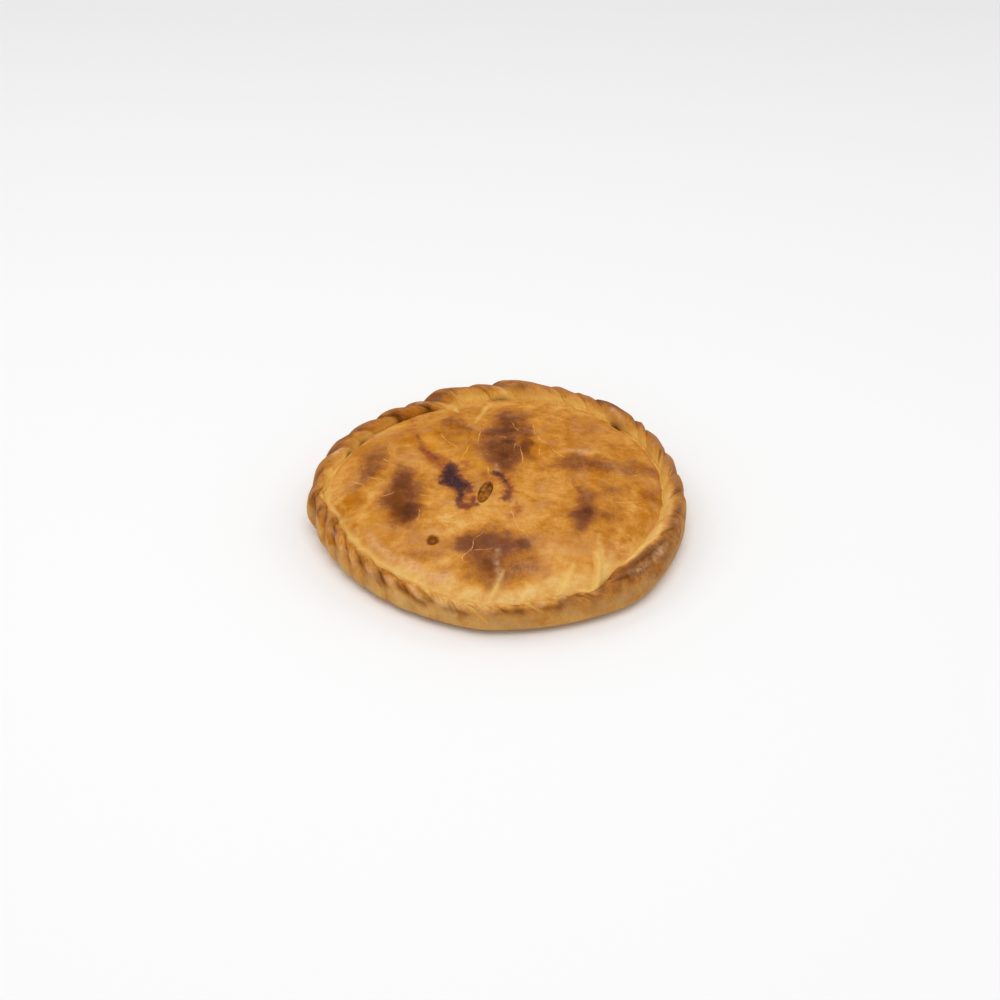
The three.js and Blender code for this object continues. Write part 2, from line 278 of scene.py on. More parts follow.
# Pale dough toward the seam, and painted highlights along the lips of the folds
ROPE_PALED_AND_HIGHLIGHTED = (
    ((29, 174, 0.2), (30.8, 142, 0.4)),
    ((51, 182, 1.2), (54, 166, 0.6)),
    ((63.8, 166, 0.5), (66, 150, 0.9), (67, 140, 0.2)),
    ((86, 178, 0.2), (88, 146, 0.4), (91, 106, 0.1)),
    ((103, 176, 0.3), (106, 146, 0.4), (109, 112, 0.1)),
    ((107, 182, 1.6), (110.6, 166, 1.4)),
    ((110.6, 166, 0.6), (113.6, 124, 0.4), (116, 88, 0.2)),
    ((151, 182, 1.2), (154.6, 176, 1.2)),
    ((162, 174, 1.2), (167, 164, 1.8), (171, 156, 0.6)),
    ((174, 180, 1.4), (181, 168, 2), (186.5, 148, 0.4)),
    ((246, 178, 0.6), (247, 110, 0.6), (248.6, 66, 0.1)),
    ((261.4, 66, 0.2), (262.4, 54, 0.7), (263.6, 38, 0.2), (266, 16, 0)),
    ((277.4, 170, 0.8), (277.8, 80, 0.6), (281.8, 40, 0.1)),
    ((286.2, 170, 0.3), (286.4, 80, 0.2)),
    ((308, 152, 0.4), (313, 122, 1.3), (320, 108, 1.5), (328, 108, 1.1), (336, 114, 0.9)),
    ((352.6, 160, 0.5), (354, 124, 0.6)),
)
# Where the rope shines: glossier, and with a painted pink highlight in its colour
ROPE_SHINING = (
    ((42, 130, 0.6), (47, 120, 0.8)),
    ((85, 112, 0.1), (92, 112, 0.3)),
    ((118, 106, 0.3), (122, 98, 0.4)),
    ((158.5, 128, 0.8), (163, 116, 1.2), (166.5, 108, 0.5)),
    ((192.4, 37, 0.6), (195, 33, 0.6)),
    ((204.4, 80, 0.4), (206.5, 72, 0.8), (209, 60, 0.4)),
    ((213, 62, 0.4), (216, 54, 0.9), (219.6, 44, 0.5)),
    ((225, 61, 0.3), (226.6, 57, 0.7), (229, 52, 0.3)),
    ((232, 73, 0.3), (233.6, 70, 0.8), (235.4, 62, 0.3)),
    ((240.6, 92, 0.3), (242.5, 75, 0.8), (245.2, 55, 0.3)),
    ((249.8, 60, 0.2), (252, 53, 0.6), (254.2, 44, 0.3)),
    ((257.2, 57, 0.3), (258.8, 53, 0.5)),
    ((265.2, 55, 0.3), (266.6, 53, 0.6), (268, 55, 0.2)),
    ((280.6, 110, 0.6), (282, 75, 0.7)),
    ((288.2, 130, 0.8), (289, 88, 0.5)),
    ((297, 130, 0.7), (297.8, 78, 0.5)),
    ((312, 66, 0.2), (315, 58, 0.4), (319, 54, 0.4)),
    ((322.4, 48, 0.4), (326.5, 51, 1), (330.4, 46, 0.5)),
)
# How rosy the crest of the rope is, how much greenish shade is painted in the seam, and how creamy the
# seam: headings with amounts
CREST_ROSE = (
    (0, 0.75), (40, 0.85), (84, 0.85), (108, 0.7), (120, 0.5), (140, 0.5), (176, 0.7),
    (204, 0.3), (250, 0.2), (290, 0.2), (306, 0), (326, 0.1), (344, 0.4),
)
SEAM_SHADE = (
    (0, 0.4), (30, 0.3), (46, 0.2), (100, 0.1), (118, 0.2), (150, 0.2), (176, 0.2),
    (200, 0.3), (240, 0), (300, 0), (330, 0.5),
)
SEAM_CREAM = (
    (0, 0), (36, 0), (50, 0.7), (70, 0.5), (84, 0.2), (96, 0.6), (108, 0.9),
    (114, 0.1), (148, 0.2), (164, 0.8), (184, 0.7), (200, 0.4), (240, 0.3),
    (284, 0.2), (299, 0.7), (314, 0.7), (330, 0.3), (346, 0),
)
# Painted shadow in the slits where the seam opens on the lid's side: strokes of places with half widths
SLIT_SHADOWS = (
    ((86.8, 84.8, 0.6), (91, 80.8, 1.9), (94.8, 76.2, 0.8)),
    ((-10, 117.6, 0.2), (-3, 117.2, 0.8), (3, 116.6, 0.2)),
)
# Where shade is painted dark in the creases: headings with how dark, and with the turn over the rope
CREASE_SHADE_AMOUNT = (
    (0, 0.35), (24, 0.3), (40, 0.1), (100, 0.12), (130, 0.3), (152, 0.25),
    (176, 0.2), (196, 0.15), (228, 0.15), (245, 0.08), (262, 0.04), (316, 0.04),
    (336, 0.35),
)
CREASE_TURN = (
    (0, 100), (60, 84), (130, 90), (180, 84), (230, 70), (290, 68),
    (336, 96),
)

# Bumps where the filling pushes the lid up, or lets it sink: place, half sizes, turn and rise
BUMPS = (
    (5, 50, 40, 20, 88, 2.2),
    (-71, -20, 34, 17, 96, 2),
    (-2, -85, 34, 22, 4, 2.4),
    (62, -40, 24, 16, 70, 1.8),
    (62, 30, 24, 17, 10, 1.8),
    (-100, 35, 26, 15, 80, 1.6),
    (-38, 75, 24, 16, 100, 1.5),
    (-37, 5, 22, 14, 70, -1.4),
)

# Patches the oven browned, or left lighter: place, half sizes, turn and how brown
BROWNED = (
    (0, 44, 34, 16, 90, 0.36),
    (9, 78, 24, 13, 92, 0.20),
    (6, 20, 17, 9, 84, 0.20),
    (7, 46, 6, 3, -20, 0.22),
    (20, 38, 16, 4, 90, 0.22),
    (-71, -27, 28, 14, 90, 0.37),
    (-74, 2, 16, 8, 92, 0.28),
    (-70, -37, 10, 7, 0, 0.14),
    (-84, -22, 12, 7, 90, 0.12),
    (-4, -82, 27, 20, 0, 0.34),
    (-24, -82, 14, 12, 30, 0.16),
    (-8, -101, 12, 7, 0, 0.24),
    (16, -83, 5, 6, 0, 0.22),
    (62, -37, 22, 8, 84, 0.30),
    (69, -46, 13, 8, 10, 0.20),
    (57, -55, 17, 8, 76, 0.22),
    (58, -13, 9, 2.4, 100, 0.16),
    (62, 17, 24, 12, 3, 0.26),
    (107, 20, 16, 9, 0, 0.24),
    (-99, 30, 26, 12, 92, 0.26),
    (-37, 68, 22, 12, 100, 0.20),
    (-55, -87, 15, 5, -4, 0.18),
    (-68, -46, 10, 7, 0, 0.20),
    (22, 36, 13, 9, 80, 0.18),
    (-60, -42, 14, 10, 0, 0.12),
    (84, -14, 12, 10, 0, 0.12),
    (84, -40, 12, 10, 0, 0.10),
    (114, -14, 14, 7, 80, 0.12),
    (-39, -92, 12, 10, 0, -0.16),
    (-95, -14, 14, 10, 0, -0.12),
    (-86, -74, 18, 9, 130, 0.14),
    (-4, -115, 24, 8, 0, 0.26),
    (112, -16, 16, 8, 80, 0.14),
    (-112, -30, 24, 10, 70, 0.14),
    (-104, -56, 14, 8, 120, 0.14),
    (98, -66, 22, 9, 55, 0.10),
    (-38, -62, 18, 14, 0, -0.14),
    (38, -90, 17, 12, 0, -0.18),
    (20, -106, 14, 5, 4, 0.12),
    (-5, -42, 60, 26, 0, -0.12),
    (-8, -42, 10, 9, 0, 0.02),
    (30, -10, 26, 22, 0, -0.06),
    (-64, 22, 12, 16, 0, -0.08),
    (-94, 70, 16, 12, 50, -0.10),
    (-45, 35, 22, 9, 120, -0.06),
    (20, 108, 40, 10, 0, -0.06),
    (24, 62, 16, 10, 0, 0.10),
    (-51, 26, 14, 4, 122, 0.26),
    (-59, 42, 12, 3, 106, 0.22),
    (-23, -103, 13, 7, 0, 0.12),
    (62, -102, 16, 7, 35, 0.08),
    (-54, 34, 10, 8, 110, 0.09),
    (-8, 36, 10, 9, 0, 0.08),
    (-22, 36, 13, 9, 90, 0.11),
    (0, 8, 13, 9, 0, 0.10),
    (45, -41, 18, 9, 0, 0.09),
    (-54, -100, 20, 8, -28, 0.12),
    (-99, -76, 14, 7, 130, 0.10),
    (99, -52, 11, 8, 60, 0.12),
)
# Places where the glaze pooled to a deep gold, told the same way, and how strongly
POOLED = (
    (-72, 50, 10, 8, 90, 0.8),
    (-116, -20, 12, 9, 90, 1),
    (-50, 62, 20, 7, 100, 0.4),
    (42, 62, 7, 6, 0, 0.8),
    (37, 38, 10, 9, 40, 0.7),
    (22, 38, 16, 9, 90, 0.9),
    (66, 74, 16, 12, 0, 0.45),
    (100, 42, 14, 10, 60, 0.5),
    (110, -15, 14, 9, 70, 1),
    (98, -33, 9, 8, 0, 0.6),
    (92, -66, 12, 7, 60, 0.7),
    (20, -107, 12, 4, 4, 0.8),
    (-78, -50, 10, 6, 0, 0.7),
    (-100, -58, 14, 7, 120, 0.4),
    (-36, 58, 16, 8, 100, 0.5),
    (-47, 15, 24, 5, 125, 0.3),
    (-94, -24, 17, 18, 0, 0.35),
    (40, 49, 22, 11, 0, 0.3),
    (-63, 50, 13, 12, 0, 0.3),
    (-39, -50, 12, 10, 0, 0.3),
    (98, -76, 12, 10, 50, 0.35),
)
# Places where it glows a brighter gold
GLOWING = (
    (-26, 34, 24, 8, 115, 0.5),
    (-13, 12, 12, 7, 90, 0.5),
    (-56, 52, 22, 7, 110, 0.6),
    (-95, 48, 16, 8, 60, 0.4),
    (-95, -52, 22, 9, 120, 0.5),
    (30, 60, 24, 6, 92, 0.5),
    (56, -84, 16, 9, 20, 0.3),
    (-28, -104, 14, 6, 0, 0.2),
    (-74, 84, 14, 7, 130, 0.6),
)
# Places where it dried milky
MILKY = (
    (-52, -78, 34, 13, -8, 0.26),
    (8, -80, 26, 12, 0, 0.30),
    (54, -78, 30, 12, 8, 0.32),
    (22, -104, 12, 8, 0, 0.34),
    (-36, -106, 14, 8, 0, 0.24),
    (116, 14, 26, 9, 88, 0.32),
    (114, -50, 18, 8, 66, 0.26),
    (-72, 24, 13, 16, 0, 0.26),
    (-90, 48, 16, 10, 60, 0.20),
)
# Places that shine, glossier and with a painted highlight in their colour: strokes of places with half
# widths
SHINING = (
    ((51, 36, 2), (62, 32, 4), (72, 34, 2)),
    ((-3, -89, 0.8), (-3, -100, 1.2), (-1, -114, 1)),
    ((-96, -62, 2), (-88, -74, 3), (-78, -87, 2.4)),
    ((-70, -90, 2), (-62, -97, 3.5), (-54, -103, 3)),
    ((-48, -106, 3), (-36, -112, 4.5)),
    ((-3, 18, 0.4), (-3, 9, 1)),
)
# Places where the drawn dough stayed pale: strokes of places with half widths
PALED = (
    ((65, -115, 2.2), (69, -99, 3), (72, -84, 2.2), (71, -66, 0.8)),
    ((65, -115, 2), (79, -99, 2.6), (97, -80, 2.2), (112, -57, 1.6),
     (121, -28, 1.6), (126, 0, 1.8), (122, 30, 1.2)),
    ((64, -113, 2), (70, -100, 3.4), (77, -93, 1.6)),
    ((41, -126, 2.6), (46, -114, 2.6), (51, -98, 0.8)),
    ((-9, -133, 1.8), (-2, -119, 2), (2, -108, 0.4)),
    ((-60, -106, 3), (-84, -92, 3), (-100, -74, 2.6), (-112, -56, 2.6),
     (-122, -36, 2.6), (-130, -16, 3), (-130, 2, 2)),
    ((-129, 26, 2.5), (-122, 40, 2.5), (-116, 52, 1)),
    ((-38, 112, 2), (-37, 104, 3), (-34, 94, 0.4)),
    ((-8, 112, 1.6), (-12, 100, 2), (-16, 86, 1.4), (-20, 74, 0.2)),
    ((50, 118, 1.6), (48, 112, 1.8), (44, 100, 0.2)),
    ((77, 110, 2), (78, 100, 2.4), (79, 92, 1)),
)

# Juice that boiled out of the vent: burnt black, dried to plum, or left as a red tinge,
# each in strokes of places with half widths
BURNT = (
    ((-38, 14, 4.5), (-38, 2, 8), (-36, -5, 8.5)),
    ((-43, -5, 4.5), (-31, -9, 6), (-27, -11, 4.5)),
    ((-30, -12, 4.5), (-30, -20, 2.6), (-30, -28, 1.6)),
    ((-4, 5, 2.6), (0, 2, 2.6), (4, -4, 1.6)),
    ((-63, 53, 0.9), (-66, 60, 1.2)),
)
PLUM = (
    ((-38, 16, 5), (-37, -2, 10), (-27, -11, 7), (-23, -18, 4)),
    ((-30, -12, 5), (-30, -24, 3.6), (-30, -33, 3.4)),
    ((-25, -14, 3.6), (-25, -22, 1.4)),
    ((-31, -33, 3.4), (-24, -36, 3.2), (-18, -35, 2.4)),
    ((-21, -33, 2), (-20, -27, 1.2)),
    ((-58, 39, 0.2), (-54, 33, 1), (-50, 27, 1.3), (-47, 23, 0.2)),
    ((-4, 5, 3.4), (0, 2, 3.4), (4, -4, 2.6), (6, -13, 2), (5.5, -21, 3.6),
     (4, -27, 3.8)),
)
REDDENED = (
    ((-36, 12, 9), (-50, 25, 7), (-58, 37, 5), (-61, 47, 2.4)),
    ((-61, 47, 2.4), (-65, 58, 3.4), (-69, 74, 2), (-71, 92, 2.6)),
    ((-38, 0, 11), (-27, -14, 8), (-25, -32, 8)),
    ((-28, 22, 3), (-26, 12, 3)),
    ((-12, 4, 2.6), (-8, -4, 2.4)),
    ((0, 2, 4), (6, -14, 4), (5, -26, 5)),
    ((11, -30, 3), (13, -40, 3), (7, -46, 3)),
)

# Hairline cracks in the glaze, each a short path of lid places
CRACKS = (
    ((-18, 66), (-16.5, 60), (-17, 50), (-18.5, 41)),
    ((26, 77), (26, 61), (30, 51), (36, 45), (43, 42)),
    ((37, 44), (40, 36), (49, 24)),
    ((30, 44), (30, 29)),
    ((14, 42), (16, 30), (17, 21), (14, 11)),
    ((11, 44), (10, 32)),
    ((8, 76), (11, 67), (14, 60)),
    ((-2, 52), (5, 51)),
    ((-47, 61), (-43, 52), (-39, 45), (-32, 38)),
    ((-24, 43), (-28, 31), (-30, 23)),
    ((-84, 54), (-87, 42), (-85, 33)),
    ((-91, 28), (-83, 20)),
    ((-103, 6), (-92, 0), (-84, -5)),
    ((-118, 5), (-106, -2), (-101, -8)),
    ((-90, -22), (-83, -21), (-77, -17)),
    ((-61, -22), (-51, -24)),
    ((-113, -35), (-106, -30), (-98, -27)),
    ((-93, -50), (-86, -55), (-78, -59)),
    ((-60, -38), (-60, -48), (-61, -55)),
    ((-9, -64), (-14, -71), (-20, -77), (-20, -86), (-27, -93), (-27, -102)),
    ((-20, -88), (-5, -87)),
    ((7, -32), (8, -43), (10, -52), (13, -62), (22, -77)),
    ((-20, -49), (-19, -60)),
    ((-10, 14), (-9, 4)),
    ((88, 6), (106, 10)),
    ((84, -29), (93, -27), (108, -21)),
)
CRACK_HALO = 3.0
CRACK_ENDS = 0.2
CRACK_REACH = 9.0

# A small brown pit in the lid, and gaps in the seam under the rope: heading, reach, depth
PIT = {"at": (-49.0, -74.0), "radius": 4.6, "depth": 1.8, "firmness": 4}
SEAM_GAPS = (
    (43.8, 2.4, 6),
    (90, 3, 3),
    (118.5, 2.2, 4),
    (129, 2, 4),
    (149.5, 1.8, 3.5),
    (157, 1.8, 3),
    (303.5, 1.6, 4),
)

# The steam vent and the filling seen in it
FILLING_AT = (-10.0, -17.0)
VENT = {
    "at": (-11.5, -19.0), "half_width": 5.0, "half_length": 14.5, "turn": 77.0,
    "depth": 6.5, "floor": 0.55, "flare": 0.45, "wall_curve": 0.7,
}
VENT_LIP = {"reach": 15.0, "rise": 1.6}
VENT_SHADE_SHARES = (0.4, 1.0)
FILLING_ROUNDS = 5
FILLING_GAPS = (0.7, 0.6, 0.8)
FILLING_LUMPS = ((0.14, 0.45, 0.0), (0.06, 0.2, 40.0))
FILLING_FLATTENED = 0.35
FILLING_SUNK = 1.6
FILLING_CLEFT = {"depth": 1.4, "slope": 0.12, "reach": 1.1}

# How strongly the oven and the glaze mark each part, and where shade and highlights are painted on it;
# a pair is where a mark begins and where it is full, in shares of the way out or up, or in degrees
# of turn over the rope
BASE_BAKE = 0.5
LID_BAKE = 0.40
SHOULDER_PALING = 0.27
SHOULDER_SHARES = (0.80, 0.95)
SHOULDER_AT_BACK = 0.3
FRONT_HEADING = 262.0
FRONT_FADE = (-0.2, 0.8)
WALL_FOOT_BAKE = 0.24
WALL_BAKE_SHARES = (0.1, 1.0)
CREST_REACH = 26.0
CREST_SIDES = (-25.0, 35.0)
CREST_IN_CREASES = 0.5
FOLD_TINT = 0.12
# Painted shade between the folds, lighter on their tops
VALLEY_SHADE = 0.24
VALLEY_LEVEL = 0.7
VALLEY_GONE_TURNS = (70.0, 120.0)
VALLEY_FOLDS = (0.0, 0.4)
LID_PALE = 0.9
PALE_SOFT = 1.8
LID_SHINE = 0.7
SHINE_EDGE = (-3.5, 3.0)
SEAM_SHARES = (0.972, 0.99)
SEAM_TURNS = (168.0, 178.0)
FLANK_TURNS = (120.0, 162.0)
CREAM_TURNS = (144.0, 168.0)
CREASE_REACH = 26.0
GAP_DEEP_TURNS = (150.0, 180.0)
GAP_SHADE_TURNS = (150.0, 176.0)
SIDE_AT_CREST = 0.12
SIDE_TURNS = (0.0, 60.0)
STRAND_TURNS = (20.0, 70.0)
STRAND_CALM = {"heading": 310.0, "reach": 24.0, "by": 0.8}
FLAKED = {"heading": 321.0, "reach": 10.0, "turn": 62.0, "turn_reach": 20.0}
STAIN_REACH = 12.0
OVAL_FIRMNESS = 1.7
TURNS_PER_DEGREE = 10.0
FAR = 1e6

# Fibres of the dough: how close they lie on the lid, and round and over the rope
FIBRES_ON_LID = 0.11
FIBRES_ROUND = 1.6
FIBRES_OVER = 0.03
FIBRES_APART = 5.0

# Marks stray from where they were laid, by lumps of these amounts and sizes
STRAYS = ((4.0, 16.0), (2.0, 7.0))
STRAY_APART = 300.0
LID_OVALS = {"browned": BROWNED, "pooled": POOLED, "glow": GLOWING, "milky": MILKY}
# Strokes on the lid, with the share of that straying that each takes
LID_STROKES = {
    "paled": (PALED, 0.4),
    "shine": (SHINING, 0.5),
    "burnt": (BURNT, 0.4),
    "plum": (PLUM, 0.4),
    "redden": (REDDENED, 0.5),
    "slit": (SLIT_SHADOWS, 0.0),
}
# Strokes on the rope, with how soft their edges are in degrees and how strong they are
ROPE_STROKES = {
    # browned: oven browning, with painted shade under the tongues and the tail
    "browned": (ROPE_BROWNED_AND_SHADED, 1.5, 1.0),
    "painted_shade": (ROPE_PAINTED_SHADE, 0.55, 0.85),
    "gilded": (ROPE_GILDED, 1.6, 0.95),
    # paled: pale dough, with painted highlights along the fold lips
    "paled": (ROPE_PALED_AND_HIGHLIGHTED, 0.8, 1.0),
    "shining": (ROPE_SHINING, 1.6, 1.0),
}
# What a mark reads where its part of the pie has none of it, if that isn't 0
UNMARKED = {
    "bake": BASE_BAKE,
    "side": 1.0,
    "pit_off": STAIN_REACH,
    "burnt": -STAIN_REACH,
    "plum": -STAIN_REACH,
    "redden": -STAIN_REACH,
    "slit": -STAIN_REACH,
}

# How finely the dough is rolled: the part of the pie that each band covers, how many columns
# become one in it, its rows, and where it starts and ends across that part
DOUGH_BANDS = (
    ("vent", 6, 7, 0.0, 0.9),
    ("lid", 6, 8, 0.0, 0.05),
    ("lid", 3, 26, 0.06, 0.30),
    ("lid", 2, 44, 0.312, 0.86),
    ("lid", 1, 10, 0.872, 0.99),
    ("rope", 1, 36, 180.0, 0.0),
    ("wall", 2, 8, 0.88, 0.0),
    ("base", 6, 5, 0.9, 0.08),
)
COLUMNS_PER_FOLD = 30
TAIL_FOLDS = 3
COLUMNS = (len(FOLDS) + TAIL_FOLDS) * COLUMNS_PER_FOLD
FOLD_NUDGE = 1e-6
TURN_NUDGE = 1e-7

# A repeatable scatter of numbers, and the salts that fold sizes and tints take from it
SCATTER = (12.9898, 78.233, 43758.5453)
SIZE_SALT = 1
TINT_SALT = 4

# Grain of the glaze and the filling: lumps to a metre, detail and roughness
GRAINS = {
    "mottle": (55.0, 3.0, 0.55),
    "speckle": (800.0, 3.0, 0.55),
    "wisp": (170.0, 4.0, 0.6),
    "strings": (1.0, 4.0, 0.6),
    "flake": (420.0, 4.0, 0.55),
    "floury": (75.0, 4.0, 0.55),
    "blotch": (110.0, 4.0, 0.55),
    "drift": (60.0, 4.0, 0.55),
    "haze": (52.0, 4.0, 0.55),
    "edge": (190.0, 4.0, 0.55),
    "fleck": (560.0, 3.0, 0.55),
    "dabs": (230.0, 3.0, 0.55),
    "ash": (760.0, 2.0, 0.55),
    "waver": (160.0, 3.0, 0.55),
    "broken": (140.0, 2.0, 0.55),
    "glint": (260.0, 4.0, 0.6),
    "skin": (420.0, 3.0, 0.55),
    "soft": (90.0, 2.0, 0.55),
    "filling": (130.0, 3.0, 0.5),
}
FILLING_SWIRL = 0.6
# How a grain or a mark is read: from one range of values to another
SPREADS = {
    "mottle": (0.25, 0.75, -0.12, 0.12),
    "speckle": (0.3, 0.7, -0.05, 0.05),
    "wisp": (0.3, 0.7, -0.08, 0.08),
    "fibre": (0.3, 0.7, -0.06, 0.06),
    "edge": (0.3, 0.7, -1.8, 1.8),
    "fleck": (0.3, 0.7, -0.6, 0.6),
    "waver": (0.3, 0.7, -0.9, 0.9),
    "strand": (0.0, 1.0, 1.0, 2.4),
    "flake": (0.4, 0.62, -0.12, 0.22),
    "floury": (0.3, 0.7, 0.25, 0.75),
    "blotch": (0.3, 0.7, 0.35, 1.0),
    "drift": (0.48, 0.70, 0.0, 0.9),
    "settled": (0.15, 0.4, 0.0, 1.0),
    "deep": (0.44, 0.74, 0.0, 1.0),
    "haze": (0.48, 0.70, 0.0, 0.30),
    "streak": (0.3, 0.6, 0.0, 1.0),
    "toast": (0.35, 1.0, 0.55, 0.9),
    "redden": (-4.0, 4.5, 0.0, 0.8),
    "dabs": (0.36, 0.62, 0.35, 1.0),
    "plum": (-2.2, 2.6, 0.0, 0.85),
    "burnt": (-1.8, 4.0, 0.0, 0.95),
    "ash": (0.56, 0.68, 0.0, 0.5),
    "crack": (0.1, 0.5, 1.0, 0.0),
    "broken": (0.35, 0.6, 0.2, 0.8),
    "pit_halo": (2.8, 6.6, 0.8, 0.0),
    "pit_bowl": (0.0, 2.2, 0.25, 0.9),
    "pit_rim": (2.8, 5.2, 1.0, 0.0),
    "slit": (-0.6, 0.7, 0.0, 1.0),
    "glint": (0.36, 0.6, 0.35, 1.0),
    "roughness": (0.0, 1.0, 0.6, 0.36),
    "gloss": (0.0, 1.0, 0.06, 0.22),
}
# Those that are read straight; the others ease in and out
STRAIGHT = ("mottle", "speckle", "wisp", "fibre", "edge", "fleck", "waver")
# Fine relief: strength, and height in metres
RELIEF = {
    "skin": (0.14, 0.0006),
    "soft": (0.2, 0.002),
    "flakes": (0.6, 0.0012),
    "cracks": (0.3, 0.0006),
    "filling": (0.6, 0.0015),
}
# Shares of single layers
CREAM_SHARE = 0.95
PALE_SHARE = 0.85
PAINTED_SHADE_SHARE = 0.85
PAINTED_HIGHLIGHT_SHARE = 0.82
PIT_RAGGED = 0.6
SLIT_RAGGED = 0.08
FILLING_ROUGHNESS = 0.5
FILLING_GLOSS = 0.1

# Sockets of a colour mix: what lies under, what goes over it, and the mixed colour
COLOUR_UNDER = 6
COLOUR_OVER = 7
COLOUR_MIXED = 2

# The view: where the camera stands, the place it looks at, and its lens
VIEW_FROM = (0.0, -1041.0, 778.7)
VIEW_AIM = (-0.6, 0.0, 15.1)
VIEW_LENS = 61.26
VIEW_SENSOR = 36.0
VIEW_CLIP = (0.01, 50.0)

# The studio: soft lights with heading, elevation, distance, size and power
SOFTBOXES = (
    ("softbox_over", 270.0, 78.0, 2.0, 1.6, 15.0),
    ("softbox_left", 158.0, 48.0, 2.0, 1.0, 4.5),
    ("softbox_right", 24.0, 42.0, 2.0, 0.8, 2.5),
)
SKY_COLOUR = (1.0, 1.0, 1.0, 1.0)
SKY_STRENGTH = 0.62
TABLE_HALF = 6.0
TABLE_COLOUR = (0.92, 0.92, 0.92, 1.0)
TABLE_ROUGHNESS = 0.9


def paint(red, green, blue):
    """A colour given as it looks on a screen, 0 to 255, as Blender's own light values."""
    share = [value / 255.0 for value in (red, green, blue)]
    light = [s / 12.92 if s <= 0.04045 else ((s + 0.055) / 1.055) ** 2.4 for s in share]
    return (*light, 1.0)


# The baked colours, from raw dough to dark crust, and the tints laid over them
BAKING = (
    (0.00, paint(232, 192, 120)),
    (0.12, paint(222, 172, 98)),
    (0.26, paint(214, 150, 68)),
    (0.42, paint(192, 124, 42)),
    (0.58, paint(160, 97, 42)),
    (0.74, paint(130, 74, 38)),
    (0.88, paint(106, 56, 24)),
    (1.00, paint(86, 44, 16)),
)
FILLING_COLOURS = (
    (0.36, paint(72, 32, 2)),
    (0.46, paint(126, 70, 10)),
    (0.58, paint(162, 99, 28)),
    (0.74, paint(188, 126, 52)),
)
# Pale dough, also used for the painted highlights on the lips of the rope's folds
PALE_DOUGH_AND_HIGHLIGHT = paint(235, 193, 108)
POOLED_GLAZE = paint(182, 108, 3)
BRIGHT_GLAZE = paint(222, 150, 36)
DEEP_GLAZE = paint(116, 60, 3)
HAZY_GLAZE = paint(196, 142, 98)
HAZY_BROWN = paint(132, 86, 68)
SIDE_DOUGH = paint(198, 160, 102)
BURNT_JUICE = paint(60, 34, 36)
ASHEN_JUICE = paint(132, 98, 92)
PLUM_JUICE = paint(112, 58, 44)
RED_JUICE = paint(162, 82, 36)
CRACK_PALE = paint(236, 178, 100)
# The painted shade of creases, seam gaps and the vent's wall
PAINTED_SHADE_DARK = paint(86, 48, 12)
PIT_BROWN = paint(112, 56, 14)
PIT_ORANGE = paint(150, 82, 24)
# The painted highlight, laid over the colour where the glaze shines
PAINTED_HIGHLIGHT_PINK = paint(236, 190, 144)
ROSY_CREST = paint(168, 116, 78)
# The greenish painted shade in the valley of the seam
OLIVE_SEAM_SHADE = paint(184, 140, 56)
FLANK_GOLD = paint(234, 184, 86)
CREAM_DOUGH = paint(250, 214, 120)
# Toasted brown, also used as painted shade under the tongues
TOASTED_AND_SHADED_FOLD = paint(126, 74, 26)
# The painted shadow inside the open slits of the seam
SLIT_SHADOW_DARK = paint(40, 24, 3)


def chance(index, salt):
    """A repeatable number from 0 to 1 that gives each fold its own unevenness."""
    value = np.sin(index * SCATTER[0] + salt * SCATTER[1]) * SCATTER[2]
    return value - np.floor(value)


def smoothstep(value, low, high):
    share = np.clip((value - low) / (high - low), 0.0, 1.0)
    return share * share * (3.0 - 2.0 * share)


def mix(low, high, share):
    return low + (high - low) * share


def bell(off, reach):
    """1 where off is 0, falling smoothly to 0 beyond about twice the reach."""
    return np.exp(-((off / reach) ** 2))


def turned_from(angle, heading):
    """Degrees from a heading to an angle, the short way round."""
    return (angle - heading + 180.0) % 360.0 - 180.0


def hump(angle, heading, reach):
    """A bell round the pie, 1 at the heading."""
    return bell(turned_from(angle, heading), reach)


def tilted(level, angle):
    """A height that changes smoothly round the pie, highest at its heading."""
    return level["height"] + level["tilt"] * np.cos(np.radians(angle - level["heading"]))


def outline_radius(angle):
    radius = np.full_like(angle, PIE_RADIUS)
    for wave in OUTLINE_WAVES:
        radius += wave["swing"] * np.cos(wave["count"] * np.radians(angle - wave["heading"]))
    for pull in OUTLINE_PULLS:
        radius += pull["by"] * hump(angle, pull["heading"], pull["reach"])
    return radius


def eased(table, angle):
    """A value read from a table of headings, easing from one to the next round the pie."""
    headings = np.array([row[0] for row in table] + [360.0 + table[0][0]])
    values = np.array([row[1] for row in table] + [table[0][1]])
    heading = (angle - headings[0]) % 360.0 + headings[0]
    at = np.clip(np.searchsorted(headings, heading, side="right") - 1, 0, len(table) - 1)
    share = smoothstep(heading, headings[at], headings[at + 1])
    return mix(values[at], values[at + 1], share)


def seam_radius(angle):
    """Where the lid meets the rope."""
    return outline_radius(angle) - eased(ROPE_WIDTHS, angle)


